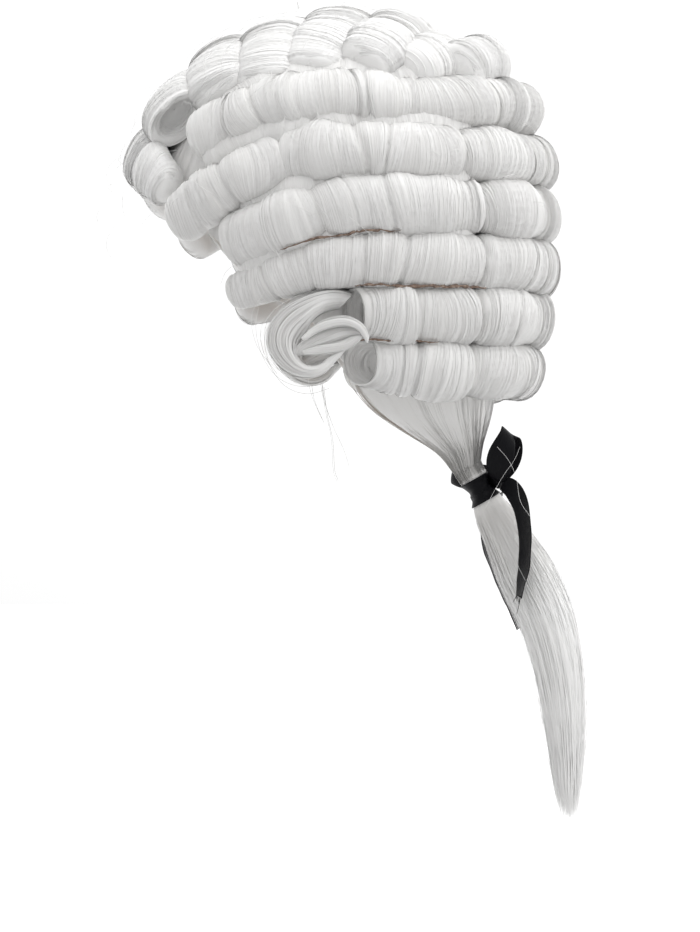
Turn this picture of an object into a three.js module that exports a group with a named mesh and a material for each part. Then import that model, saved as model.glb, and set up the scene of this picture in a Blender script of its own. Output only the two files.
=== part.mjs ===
// A powdered wig: a fitted cap under combed hair, six rows of barrel rolls round the sides and
// back, rolls across the crown, a spiral curl at each temple, and nape hair drawn into a tied queue.
// Millimetres and degrees. +Z is up, the face looks along -Y and the wearer's left is +X.
// The origin is the inside of the cap at its top, where the crown of the head touches it.
import * as THREE from 'three';

// The head that the cap fits: an egg of four half axes about its widest level
const HEAD_HALF_BREADTH = 76;
const HEAD_HALF_LENGTH = 94;
const HEAD_CROWN_RISE = 94;
const HEAD_NAPE_FALL = 150;

// Layers on the head
const SEAT_GAP = 0.3;
const CAP_WALL = 1.6;
const COMBED_WALL = 3;
const COMBED_DEPTH = 168;
const CAP_RIM_INSET = 4;

// Rows of rolls round the sides and back
const ROWS = 6;
const FIRST_ROW_LEVEL = -27;
const LAST_ROW_RISE = 3.5;
const ROLL_DEPTH = 25;
const ROLL_GAP = 1.2;
const ROLL_END_ROUND = 8;
const ROLL_BORE = 11;
const ROLL_BORE_DEPTH = 15;

// Rolls across the crown
const CROWN_ROLLS = 6;
const CROWN_FRONT_ANGLE = 65.5;
const CROWN_BACK_ANGLE = -20.5;
const CROWN_SWEEP_ANGLE = 9;
const CROWN_SWEPT_ANGLE = 37;
const BACK_CROWN_DROOP = 4;

// Spiral curl at each temple
const CURL_OUTER_RADIUS = 21;
const CURL_INNER_RADIUS = 8.5;
const CURL_LOCK = 11;
const CURL_WIDTH = 22;
const CURL_START_ANGLE = 80;
const CURL_TURNS = 1.1;
const CURL_BEHIND_MIDDLE = -12;

// Tied bundle behind the neck, and the queue that hangs from it
const TIE_INSET = 15.5;
const TIE_BELOW_RIM = 58.5;
const TIE_LEAN = 30;
const WAIST_HALF_DEPTH = 5;
const WAIST_HALF_BREADTH = 8;
const WAIST_FLARE = 2.4;
const QUEUE_LENGTH = 170.5;
const QUEUE_HALF_DEPTH = 14.5;
const QUEUE_HALF_BREADTH = 17;
const QUEUE_DRIFT = 47;

// Ribbon
const RIBBON_WIDTH = 15;
const RIBBON_THICKNESS = 1;
const BAND_WIDTH = 13;
const KNOT_LENGTH = 12;
const KNOT_DEPTH = 7;
const LOOP_LENGTH = 27;
const LOOP_BULGE = 11;
const TAIL_LENGTH = 78;

// Facets
const ROLL_SIDES = 11;
const HEAD_COLUMNS = 30;
const HEAD_RINGS = 9;
const NAPE_COLUMNS = 15;
const QUEUE_SIDES = 14;
const CURL_STEPS = 18;
const BAND_SIDES = 18;

const ROW_PITCH = (COMBED_DEPTH + FIRST_ROW_LEVEL - LAST_ROW_RISE) / (ROWS - 1);
const ROLL_HEIGHT = ROW_PITCH - ROLL_GAP;
const TIE_BACK = HEAD_HALF_LENGTH - TIE_INSET;
const TIE_DROP = COMBED_DEPTH + TIE_BELOW_RIM;
const COMBED_OUTSIDE = CAP_WALL + SEAT_GAP + COMBED_WALL;
const ROLL_SEAT = COMBED_OUTSIDE + SEAT_GAP;

const rad = THREE.MathUtils.degToRad;
const mix = THREE.MathUtils.lerp;
const vec = (x, y, z) => new THREE.Vector3(x, y, z);

// Rows of a table, as objects keyed by the names of its columns
function table(columns, rows) {
  const names = columns.split(' ');
  return rows.map((row) => Object.fromEntries(names.map((name, i) => [name, row[i]])));
}

// Lower rim of the combed hair: depth is a share of COMBED_DEPTH, azimuth runs from the back
const RIM = table('azimuth depth', [
  [0, 1], [40, 1], [74, 0.99], [86, 0.95], [95, 0.84], [104, 0.75],
  [114, 0.7], [124, 0.61], [134, 0.52], [146, 0.455], [160, 0.425], [180, 0.41],
]);

// Sections of the side rolls, from their back end to their front end.
// Azimuth runs from the back to the wearer's side, sink is a share of the row pitch
// and swell a share of the full roll.
const SIDE_ROLLS = {
  roll_1: {
    row: 0,
    openFront: false,
    sections: table('azimuth sink swell', [
      [66, 0, 0.86], [72, 0, 0.99], [80, -0.03, 0.93], [88, -0.05, 1], [96, 0, 0.94],
      [104, 0.06, 1], [112, 0.16, 0.92], [119, 0.3, 0.99], [126, 0.46, 0.88], [132, 0.64, 0.84],
    ]),
  },
  roll_2_rear: {
    row: 1,
    openFront: false,
    sections: table('azimuth sink swell', [
      [57, 0, 0.86], [64, 0, 0.99], [72, 0, 0.94], [80, 0, 1], [87, 0, 0.93], [93, 0.02, 0.98],
      [98, 0.06, 0.86],
    ]),
  },
  roll_2_front: {
    row: 1,
    openFront: false,
    sections: table('azimuth sink swell', [
      [109, 0.26, 0.84], [114, 0.43, 0.97], [119, 0.61, 0.92], [124, 0.79, 0.99], [129, 0.98, 0.9],
      [134, 1.16, 0.86],
    ]),
  },
  roll_3: {
    row: 2,
    openFront: false,
    sections: table('azimuth sink swell', [
      [53, 0, 0.86], [59, 0, 0.99], [66, 0, 0.94], [73, 0, 1], [80, 0.02, 0.93], [87, 0.07, 0.98],
      [94, 0.16, 0.9], [100, 0.28, 0.95], [106, 0.42, 0.88], [112, 0.55, 0.8],
    ]),
  },
  roll_4: {
    row: 3,
    openFront: false,
    sections: table('azimuth sink swell', [
      [53, 0, 0.86], [59, 0, 0.99], [66, 0, 0.94], [74, 0, 1], [82, 0.01, 0.93], [90, 0.05, 0.96],
      [97, 0.15, 0.88], [104, 0.3, 0.84], [110, 0.43, 0.74], [116, 0.55, 0.58],
    ]),
  },
  roll_5: {
    row: 4,
    openFront: true,
    sections: table('azimuth sink swell', [
      [53, 0, 0.86], [59, 0, 1], [66, 0, 0.95], [73, 0, 1], [79, 0, 0.94], [85, 0, 0.95],
    ]),
  },
  roll_6: {
    row: 5,
    openFront: true,
    sections: table('azimuth sink swell', [
      [53, 0.02, 0.86], [59, 0.02, 1], [65, -0.01, 0.94], [71, -0.04, 0.92], [78, -0.1, 0.78],
      [85, -0.13, 0.73],
    ]),
  },
};

// Back rolls: each runs from one side's azimuth through 0 to the other, in `steps` sections,
// and depth is a share of the full roll's
const BACK_ROLLS = table('row reach steps depth', [
  [0, 53, 9, 1.25],
  [1, 44.5, 9, 1.06],
  [2, 41, 9, 0.95],
  [3, 41, 9, 0.9],
  [4, 41, 9, 0.88],
  [5, 40.5, 9, 0.97],
]);
const BACK_SWELLS = [0.86, 1, 0.93];

// Crown rolls from the forehead back: reach is the angle about the long axis to each end
const CROWN_ROLL_TABLE = table('reach steps depth', [
  [33, 9, 0.76],
  [23, 7, 0.94],
  [30, 7, 0.95],
  [36, 9, 0.88],
  [37, 9, 0.92],
  [36, 9, 1.12],
]);
const CROWN_SWELLS = [0.94, 1];

// Short roll behind the crown: reach is the azimuth of each end
const [BACK_CROWN] = table('reach steps depth', [[30, 7, 1.3]]);

// Queue from the tie down: fall is a share of its length, drift a share of the full drift back,
// breadth and depth are shares of its half sizes
const QUEUE_SECTIONS = table('fall drift breadth depth', [
  [0.06, 0.12, 0.62, 0.62], [0.13, 0.26, 0.74, 0.76], [0.25, 0.49, 0.92, 1],
  [0.38, 0.72, 1, 0.98], [0.53, 0.9, 1, 0.9], [0.66, 0.97, 0.95, 0.82],
  [0.82, 0.99, 0.8, 0.66], [0.94, 1, 0.62, 0.46], [1, 1, 0.42, 0.24],
]);

// Nape hair from the rim down to the tie: fall is a share of that drop, and gather says how far
// the sheet has closed round the bundle
const NAPE_SECTIONS = table('fall gather', [
  [0, 0], [0.2, 0.1], [0.41, 0.28], [0.6, 0.54], [0.78, 0.82],
]);

// Ribbon tails from the knot: out is away from the wearer's middle, back is away from the neck,
// both and the fall as shares of the tail's length. Twist and tilt turn the ribbon's width off
// the sideways direction, and width is a share of the ribbon's.
const NEAR_TAIL = table('out back fall twist tilt width', [
  [0.03, 0.02, 0.03, 40, 60, 0.5], [0.11, 0.06, 0.09, 36, 30, 0.7], [0.16, 0.1, 0.19, 30, 0, 0.95],
  [0.2, 0.155, 0.35, 27, 0, 1], [0.225, 0.16, 0.54, 25, 0, 1], [0.235, 0.14, 0.72, 22, 0, 1],
  [0.23, 0.125, 0.83, 18, 0, 1],
]);
const FAR_TAIL = table('out back fall twist tilt width', [
  [0.04, 0.03, 0.08, 30, 20, 0.4], [0.14, 0, 0.16, 24, 10, 0.7], [0.185, -0.07, 0.3, 18, 0, 1],
  [0.2, -0.06, 0.45, 14, 0, 1], [0.235, 0.03, 0.68, 16, 0, 1], [0.25, 0.12, 0.87, 20, 0, 1],
  [0.25, 0.18, 1, 22, 0, 1],
]);

const HAIR = new THREE.MeshStandardMaterial({ color: 0xf1f0ee, roughness: 0.5, metalness: 0 });
const NET = new THREE.MeshStandardMaterial({ color: 0xd9c7b4, roughness: 0.85, metalness: 0 });
const SATIN = new THREE.MeshStandardMaterial({ color: 0x101012, roughness: 0.4, metalness: 0 });

const wig = new THREE.Group();

function addPiece(name, geometry, material) {
  const mesh = new THREE.Mesh(geometry, material);
  mesh.name = name;
  wig.add(mesh);
}

// Closed geometry from points and triangles, turned so that its faces point out
function body(points, triangles) {
  let volume = 0;
  for (const [a, b, c] of triangles) {
    volume += points[a].dot(points[b].clone().cross(points[c]));
  }
  const faces = volume < 0 ? triangles.map(([a, b, c]) => [a, c, b]) : triangles;
  const geometry = new THREE.BufferGeometry().setFromPoints(points);
  geometry.setIndex(faces.flat());
  geometry.computeVertexNormals();
  return geometry;
}

// Skin through rings of equal count. An end closes to its middle, or across the ring where the
// ring is a folded sheet whose second half runs back along its first.
function loft(rings, folded = false) {
  const count = rings[0].length;
  const points = rings.flat();
  const triangles = [];
  for (let r = 0; r + 1 < rings.length; r++) {
    for (let i = 0; i < count; i++) {
      const j = (i + 1) % count;
      const a = r * count + i;
      const b = r * count + j;
      triangles.push([a, b, b + count], [a, b + count, a + count]);
    }
  }
  for (const r of [0, rings.length - 1]) {
    const start = r * count;
    const flip = ([a, b, c]) => (r === 0 ? [a, c, b] : [a, b, c]);
    if (folded) {
      for (let i = 0; i + 1 < count / 2; i++) {
        const across = count - 1 - i;
        triangles.push(flip([start + i, start + i + 1, start + across - 1]));
        triangles.push(flip([start + i, start + across - 1, start + across]));
      }
    } else {
      const middle = points.length;
      points.push(rings[r].reduce((sum, p) => sum.add(p), vec(0, 0, 0)).divideScalar(count));
      for (let i = 0; i < count; i++) {
        triangles.push(flip([start + i, start + ((i + 1) % count), middle]));
      }
    }
  }
  return body(points, triangles);
}

// Point of the head at an azimuth and a level, moved out along the head's normal, with that normal
function onHead(azimuth, level, lift) {
  const height = level + HEAD_CROWN_RISE;
  const reach = height > 0 ? HEAD_CROWN_RISE : HEAD_NAPE_FALL;
  const spread = Math.sqrt(Math.max(0, 1 - (height / reach) ** 2));
  const turn = rad(azimuth);
  const point = vec(
    HEAD_HALF_BREADTH * spread * Math.sin(turn), HEAD_HALF_LENGTH * spread * Math.cos(turn), level,
  );
  const normal = vec(
    point.x / HEAD_HALF_BREADTH ** 2, point.y / HEAD_HALF_LENGTH ** 2, height / reach ** 2,
  ).normalize();
  return { point: point.addScaledVector(normal, lift), normal };
}

// The same, where the moved point has the level asked for
function seated(azimuth, level, lift) {
  let low = level - lift;
  let high = Math.min(0, level + lift);
  for (let i = 0; i < 30; i++) {
    const middle = (low + high) / 2;
    if (onHead(azimuth, middle, lift).point.z < level) low = middle;
    else high = middle;
  }
  return onHead(azimuth, low, lift);
}

// Depth of the combed hair's rim below the crown at an azimuth
function rimDepth(azimuth) {
  const turn = Math.abs(((azimuth + 180) % 360) - 180);
  const next = Math.max(1, RIM.findIndex((row) => row.azimuth >= turn));
  const [a, b] = [RIM[next - 1], RIM[next]];
  return COMBED_DEPTH * mix(a.depth, b.depth, (turn - a.azimuth) / (b.azimuth - a.azimuth));
}

// Shell over the head between two lifts, with rings down to the rim or to the inset above it
function headShell(inside, outside, reachesRim) {
  const points = [];
  const ringCount = reachesRim ? HEAD_RINGS + 1 : HEAD_RINGS;
  for (const lift of [outside, inside]) {
    for (let ring = 1; ring <= ringCount; ring++) {
      for (let column = 0; column < HEAD_COLUMNS; column++) {
        const azimuth = (360 * column) / HEAD_COLUMNS;
        const inset = ring > HEAD_RINGS ? 0 : CAP_RIM_INSET;
        const below = rimDepth(azimuth) - inset - HEAD_CROWN_RISE;
        const rimAngle = below > 0
          ? 90 + THREE.MathUtils.radToDeg(Math.asin(below / HEAD_NAPE_FALL))
          : THREE.MathUtils.radToDeg(Math.acos(-below / HEAD_CROWN_RISE));
        const angle = (rimAngle * Math.min(ring, HEAD_RINGS)) / HEAD_RINGS;
        const level = angle < 90
          ? HEAD_CROWN_RISE * (Math.cos(rad(angle)) - 1)
          : -HEAD_CROWN_RISE - HEAD_NAPE_FALL * Math.sin(rad(angle - 90));
        points.push(onHead(azimuth, level, lift).point);
      }
    }
  }
  const side = ringCount * HEAD_COLUMNS;
  const triangles = [];
  const quad = (a, b, c, d) => triangles.push([a, b, c], [a, c, d]);
  for (let i = 0; i < HEAD_COLUMNS; i++) {
    const j = (i + 1) % HEAD_COLUMNS;
    for (let ring = 0; ring + 1 < ringCount; ring++) {
      const a = ring * HEAD_COLUMNS;
      const b = a + HEAD_COLUMNS;
      quad(a + i, b + i, b + j, a + j);
      quad(side + b + j, side + b + i, side + a + i, side + a + j);
    }
    const rim = side - HEAD_COLUMNS;
    quad(rim + i, side + rim + i, side + rim + j, rim + j);
    triangles.push([2 * side, i, j], [2 * side + 1, side + j, side + i]);
  }
  points.push(vec(0, 0, outside), vec(0, 0, inside));
  return body(points, triangles);
}

// Direction of the run at each of a list of centres
function runs(centres) {
  return centres.map((_, i) => {
    const before = centres[Math.max(0, i - 1)];
    const after = centres[Math.min(centres.length - 1, i + 1)];
    return after.clone().sub(before).normalize();
  });
}

// Section across a run, with its half sizes out from the head and along it
function section(centre, run, normal, halfDepth, halfHeight, sides) {
  const along = run.clone().cross(normal).normalize();
  const out = along.clone().cross(run).normalize();
  return Array.from({ length: sides }, (_, i) => {
    const turn = (2 * Math.PI * i) / sides;
    return centre.clone()
      .addScaledVector(out, halfDepth * Math.cos(turn))
      .addScaledVector(along, halfHeight * Math.sin(turn));
  });
}

// Barrel roll through stations {point, normal, halfDepth, halfHeight}. A closed end is rounded
// off and an open one has a blind bore, as a rolled curl shows.
function barrel(stations, openFirst, openLast) {
  const directions = runs(stations.map((s) => s.point));
  const ring = (i, scale, shift) => {
    const s = stations[i];
    const centre = s.point.clone().addScaledVector(directions[i], shift);
    const [halfDepth, halfHeight] = [s.halfDepth * scale, s.halfHeight * scale];
    return section(centre, directions[i], s.normal, halfDepth, halfHeight, ROLL_SIDES);
  };
  const end = (i, open, outward) => {
    if (!open) {
      return [
        ring(i, 0.42, outward * ROLL_END_ROUND),
        ring(i, 0.8, outward * 0.6 * ROLL_END_ROUND),
      ];
    }
    const bore = ROLL_BORE / ROLL_HEIGHT;
    return [
      ring(i, 0.7 * bore, -outward * ROLL_BORE_DEPTH),
      ring(i, bore, outward * 0.2 * ROLL_END_ROUND),
      ring(i, 0.9, outward * 0.3 * ROLL_END_ROUND),
    ];
  };
  const last = stations.length - 1;
  return loft([
    ...end(0, openFirst, -1),
    ...stations.map((_, i) => ring(i, 1, 0)),
    ...end(last, openLast, 1).reverse(),
  ]);
}

// Station of a row's roll on the combed hair
function rowStation(level, azimuth, swell, depth) {
  const halfDepth = (ROLL_DEPTH / 2) * swell * depth;
  const { point, normal } = seated(azimuth, level, ROLL_SEAT + halfDepth);
  return { point, normal, halfDepth, halfHeight: (ROLL_HEIGHT / 2) * swell };
}

function rowLevel(row, sink) {
  return FIRST_ROW_LEVEL - ROW_PITCH * (row + sink);
}

function makeHeadLayers() {
  addPiece('cap', headShell(0, CAP_WALL, false), NET);
  addPiece('combed_hair', headShell(CAP_WALL + SEAT_GAP, COMBED_OUTSIDE, true), HAIR);
}

function makeSideRolls(side, sign) {
  for (const [name, { row, openFront, sections }] of Object.entries(SIDE_ROLLS)) {
    const stations = sections.map((s) => (
      rowStation(rowLevel(row, s.sink), sign * s.azimuth, s.swell, 1)
    ));
    addPiece(`${side}_${name}`, barrel(stations, false, openFront), HAIR);
  }
}

// Stations spaced evenly from -reach to reach, with the swells repeated
function evenStations(reach, steps, swells, stationAt) {
  return Array.from({ length: steps }, (_, i) => {
    const share = (2 * i) / (steps - 1) - 1;
    return stationAt(share * reach, i === 0 || i === steps - 1 ? swells[0] : swells[i % swells.length]);
  });
}

function makeBackRolls() {
  for (const { row, reach, steps, depth } of BACK_ROLLS) {
    const stations = evenStations(reach, steps, BACK_SWELLS, (azimuth, swell) => (
      rowStation(rowLevel(row, 0), azimuth, swell, mix(depth, 1, (azimuth / reach) ** 2))
    ));
    addPiece(`back_roll_${row + 1}`, barrel(stations, false, false), HAIR);
  }
}

// Angle between one crown roll and the next
const CROWN_STEP = (CROWN_FRONT_ANGLE - CROWN_BACK_ANGLE) / (CROWN_ROLLS - 1);

// Station of a crown roll that leans forward by `lean`, at an angle about the long axis
function crownStation(lean, angle, swell, depth) {
  const halfDepth = (ROLL_DEPTH / 2) * swell * depth;
  const swept = rad(lean + CROWN_SWEEP_ANGLE * (Math.abs(angle) / CROWN_SWEPT_ANGLE) ** 1.5);
  const radius = HEAD_CROWN_RISE * Math.cos(rad(angle));
  const point = vec(
    HEAD_HALF_BREADTH * Math.sin(rad(angle)),
    -HEAD_HALF_LENGTH * Math.cos(rad(angle)) * Math.sin(swept),
    radius * Math.cos(swept) - HEAD_CROWN_RISE,
  );
  const normal = vec(
    point.x / HEAD_HALF_BREADTH ** 2,
    point.y / HEAD_HALF_LENGTH ** 2,
    (point.z + HEAD_CROWN_RISE) / HEAD_CROWN_RISE ** 2,
  ).normalize();
  const lift = ROLL_SEAT + halfDepth;
  const arc = rad(CROWN_STEP) * (radius + lift * Math.cos(rad(angle)));
  point.addScaledVector(normal, lift);
  return { point, normal, halfDepth, halfHeight: ((arc - ROLL_GAP) / 2) * swell };
}

function makeCrownRolls() {
  CROWN_ROLL_TABLE.forEach(({ reach, steps, depth }, i) => {
    const lean = CROWN_FRONT_ANGLE - CROWN_STEP * i;
    const stations = evenStations(reach, steps, CROWN_SWELLS, (angle, swell) => (
      crownStation(lean, angle, swell, depth)
    ));
    addPiece(`crown_roll_${i + 1}`, barrel(stations, true, true), HAIR);
  });
}

// Short roll behind the crown, midway between the last crown roll and the first row
function makeBackCrownRoll() {
  const radius = HEAD_CROWN_RISE + ROLL_SEAT + ROLL_DEPTH / 2;
  const rowRise = Math.asin((FIRST_ROW_LEVEL + HEAD_CROWN_RISE) / radius);
  const crownRise = rad(90 + CROWN_BACK_ANGLE);
  const level = radius * Math.sin((rowRise + crownRise) / 2) - HEAD_CROWN_RISE;
  const stations = evenStations(BACK_CROWN.reach, BACK_CROWN.steps, BACK_SWELLS, (azimuth, swell) => {
    const sunk = level - BACK_CROWN_DROOP * (azimuth / BACK_CROWN.reach) ** 2;
    return rowStation(sunk, azimuth, swell, BACK_CROWN.depth);
  });
  addPiece('crown_roll_back', barrel(stations, false, false), HAIR);
}

// Spiral lock seen from the side, hung under the fourth roll in front of the fifth
function makeTempleCurl(side, sign) {
  const middleZ = rowLevel(3, 0.5) - SEAT_GAP - ROLL_GAP - CURL_OUTER_RADIUS - CURL_LOCK / 2;
  const outline = (offset) => Array.from({ length: CURL_STEPS + 1 }, (_, i) => {
    const share = i / CURL_STEPS;
    const taper = offset * (1 - 0.45 * share);
    const radius = mix(CURL_OUTER_RADIUS, CURL_INNER_RADIUS, share ** 0.8) + taper;
    const turn = rad(CURL_START_ANGLE) + 2 * Math.PI * CURL_TURNS * share;
    return new THREE.Vector2(radius * Math.cos(turn), radius * Math.sin(turn));
  });
  const shape = new THREE.Shape([...outline(CURL_LOCK / 2), ...outline(-CURL_LOCK / 2).reverse()]);
  const geometry = new THREE.ExtrudeGeometry(shape, { depth: CURL_WIDTH, bevelEnabled: false });
  geometry.rotateX(Math.PI / 2);
  geometry.rotateZ(Math.PI / 2);
  const inner = HEAD_HALF_BREADTH + ROLL_SEAT;
  geometry.translate(inner, CURL_BEHIND_MIDDLE, middleZ);
  if (sign < 0) {
    geometry.scale(-1, 1, 1);
    const position = geometry.getAttribute('position');
    const order = Array.from({ length: position.count }, (_, i) => i);
    for (let i = 0; i < order.length; i += 3) {
      [order[i + 1], order[i + 2]] = [order[i + 2], order[i + 1]];
    }
    geometry.setIndex(order);
  }
  addPiece(`${side}_temple_curl`, geometry, HAIR);
}

// Axis of the tied bundle: through the tie, leaning back as it falls
const TIE = vec(0, TIE_BACK, -TIE_DROP);
const BUNDLE_DOWN = vec(0, Math.sin(rad(TIE_LEAN)), -Math.cos(rad(TIE_LEAN)));
const BUNDLE_OUT = vec(0, Math.cos(rad(TIE_LEAN)), Math.sin(rad(TIE_LEAN)));

function flare(along) {
  return WAIST_FLARE * Math.min(1, (along / (BAND_WIDTH / 2)) ** 2);
}

// Combed sheet from the rim behind the ears to the tie
function makeNapeHair() {
  const reach = ((NAPE_COLUMNS - 1) / 2) * (360 / HEAD_COLUMNS);
  const columns = Array.from({ length: NAPE_COLUMNS }, (_, i) => (2 * i) / (NAPE_COLUMNS - 1) - 1);
  const hung = (turn, inner) => {
    const azimuth = reach * turn;
    const lift = inner ? CAP_WALL + SEAT_GAP : COMBED_OUTSIDE;
    return onHead(azimuth, -rimDepth(azimuth), lift).point.add(vec(0, 0, -2 * SEAT_GAP));
  };
  const tied = (turn, inner, along) => {
    const round = rad(168 * turn);
    const [halfBreadth, halfDepth] = [WAIST_HALF_BREADTH, WAIST_HALF_DEPTH]
      .map((half) => (inner ? 1 : half + flare(along)));
    const point = TIE.clone().addScaledVector(BUNDLE_DOWN, along)
      .addScaledVector(BUNDLE_OUT, halfDepth * Math.cos(round));
    point.x += halfBreadth * Math.sin(round);
    return point;
  };
  const ring = (pointAt) => [
    ...columns.map((turn) => pointAt(turn, false)),
    ...columns.toReversed().map((turn) => pointAt(turn, true)),
  ];
  const sheet = NAPE_SECTIONS.map(({ fall, gather }) => ring((turn, inner) => {
    const from = hung(turn, inner);
    const to = tied(turn, inner, -BAND_WIDTH);
    const point = from.clone().lerp(to, gather);
    point.z = mix(from.z, to.z, fall);
    return point;
  }));
  const bundle = [-BAND_WIDTH, -BAND_WIDTH / 2, -BAND_WIDTH / 4, -SEAT_GAP]
    .map((along) => ring((turn, inner) => tied(turn, inner, along)));
  addPiece('nape_hair', loft([...sheet, ...bundle], true), HAIR);
}

function makeQueue() {
  const rings = [];
  for (const along of [0, BAND_WIDTH / 4, BAND_WIDTH / 2]) {
    const centre = TIE.clone().addScaledVector(BUNDLE_DOWN, along);
    rings.push(section(
      centre, BUNDLE_DOWN, BUNDLE_OUT,
      WAIST_HALF_DEPTH + flare(along), WAIST_HALF_BREADTH + flare(along), QUEUE_SIDES,
    ));
  }
  const centres = QUEUE_SECTIONS.map((s) => (
    vec(0, TIE_BACK + QUEUE_DRIFT * s.drift, -TIE_DROP - QUEUE_LENGTH * s.fall)
  ));
  const directions = runs([TIE, ...centres]).slice(1);
  QUEUE_SECTIONS.forEach((s, i) => {
    rings.push(section(
      centres[i], directions[i], vec(0, 1, 0),
      QUEUE_HALF_DEPTH * s.depth, QUEUE_HALF_BREADTH * s.breadth, QUEUE_SIDES,
    ));
  });
  addPiece('queue', loft(rings), HAIR);
}

// Ribbon wound round the tied bundle
function makeBand() {
  const half = BAND_WIDTH / 2;
  const steps = [-1, -0.5, 0, 0.5, 1].map((share) => share * half);
  const profile = [
    ...steps.map((along) => new THREE.Vector2(flare(along) + SEAT_GAP + RIBBON_THICKNESS, along)),
    ...steps.reverse().map((along) => new THREE.Vector2(flare(along) + SEAT_GAP, along)),
  ];
  const rings = Array.from({ length: BAND_SIDES }, (_, i) => {
    const turn = (2 * Math.PI * i) / BAND_SIDES;
    return profile.map(({ x: out, y: along }) => {
      const p = TIE.clone().addScaledVector(BUNDLE_DOWN, along)
        .addScaledVector(BUNDLE_OUT, (WAIST_HALF_DEPTH + out) * Math.cos(turn));
      p.x += (WAIST_HALF_BREADTH + out) * Math.sin(turn);
      return p;
    });
  });
  const count = profile.length;
  const triangles = [];
  for (let r = 0; r < BAND_SIDES; r++) {
    const next = ((r + 1) % BAND_SIDES) * count;
    for (let i = 0; i < count; i++) {
      const j = (i + 1) % count;
      triangles.push([r * count + i, r * count + j, next + j], [r * count + i, next + j, next + i]);
    }
  }
  addPiece('ribbon_band', body(rings.flat(), triangles), SATIN);
}

// Flat ribbon through points, with the direction of its width and the share of it at each
function ribbon(points, acrosses, shares) {
  const directions = runs(points);
  return loft(points.map((p, i) => {
    const across = acrosses[i].clone()
      .addScaledVector(directions[i], -acrosses[i].dot(directions[i])).normalize();
    const face = across.clone().cross(directions[i]).normalize();
    return [[-1, -1], [1, -1], [1, 1], [-1, 1]].map(([a, b]) => (
      p.clone().addScaledVector(across, (a * RIBBON_WIDTH * shares[i]) / 2)
        .addScaledVector(face, (b * RIBBON_THICKNESS) / 2)
    ));
  }));
}

const BAND_OUTSIDE = WAIST_HALF_DEPTH + SEAT_GAP + RIBBON_THICKNESS;
const KNOT = TIE.clone().addScaledVector(BUNDLE_OUT, BAND_OUTSIDE + SEAT_GAP + KNOT_DEPTH / 2);

function makeKnot() {
  const sides = 10;
  const rings = [[-0.5, 0.62], [-0.3, 0.94], [0, 1], [0.3, 0.94], [0.5, 0.62]].map(([at, size]) => (
    section(
      KNOT.clone().addScaledVector(vec(1, 0, 0), at * KNOT_LENGTH), vec(1, 0, 0), BUNDLE_OUT,
      (KNOT_DEPTH / 2) * size, (KNOT_DEPTH * 0.62) * size, sides,
    )
  ));
  addPiece('ribbon_knot', loft(rings), SATIN);
}

// Loop that leaves the knot along `out`, bulges in `bulge` and comes back to it
function makeLoop(name, sign, out, across) {
  const bulge = out.clone().cross(across).normalize();
  const rootThickness = LOOP_BULGE * 0.08 + RIBBON_THICKNESS / 2;
  const root = KNOT.clone();
  root.x += sign * (KNOT_LENGTH / 2 + SEAT_GAP + Math.abs(bulge.x) * rootThickness);
  const steps = 12;
  const turns = Array.from({ length: steps + 1 }, (_, i) => Math.PI * (2 * (i / steps) - 1) * 0.93);
  const points = turns.map((turn) => {
    const reach = (1 + Math.cos(turn)) / 2;
    return root.clone().addScaledVector(out, LOOP_LENGTH * reach)
      .addScaledVector(bulge, (LOOP_BULGE / 2) * Math.sin(turn) * mix(0.7, 1.2, reach));
  });
  const shares = turns.map((turn) => 0.5 + 0.5 * Math.sin((Math.PI / 2) * (1 + Math.cos(turn)) ** 0.9));
  addPiece(name, ribbon(points, points.map(() => across), shares), SATIN);
}

function makeTail(name, sign, rows) {
  const points = rows.map((row) => vec(
    sign * (KNOT_LENGTH / 2 + RIBBON_THICKNESS + row.out * TAIL_LENGTH),
    KNOT.y + row.back * TAIL_LENGTH,
    KNOT.z - KNOT_DEPTH * 0.2 - row.fall * TAIL_LENGTH,
  ));
  const acrosses = rows.map((row) => vec(
    sign * Math.cos(rad(row.twist)) * Math.cos(rad(row.tilt)),
    Math.sin(rad(row.twist)) * Math.cos(rad(row.tilt)),
    Math.sin(rad(row.tilt)),
  ));
  addPiece(name, ribbon(points, acrosses, rows.map((row) => row.width)), SATIN);
}

makeHeadLayers();
for (const [side, sign] of [['left', 1], ['right', -1]]) {
  makeSideRolls(side, sign);
  makeTempleCurl(side, sign);
}
makeBackRolls();
makeCrownRolls();
makeBackCrownRoll();
makeNapeHair();
makeQueue();
makeBand();
makeKnot();
makeLoop('bow_loop_left', 1, vec(0.35, 0.2, 0.91).normalize(), vec(0, 1, -0.22).normalize());
makeLoop('bow_loop_right', -1, vec(-0.88, -0.45, 0.06).normalize(), vec(0, 0.13, 1).normalize());
makeTail('bow_tail_left', 1, NEAR_TAIL);
makeTail('bow_tail_right', -1, FAR_TAIL);

export default wig;
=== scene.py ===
"""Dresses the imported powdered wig: wound rolls, combed hair, a tied queue and a satin bow."""

import math
import zlib

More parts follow.
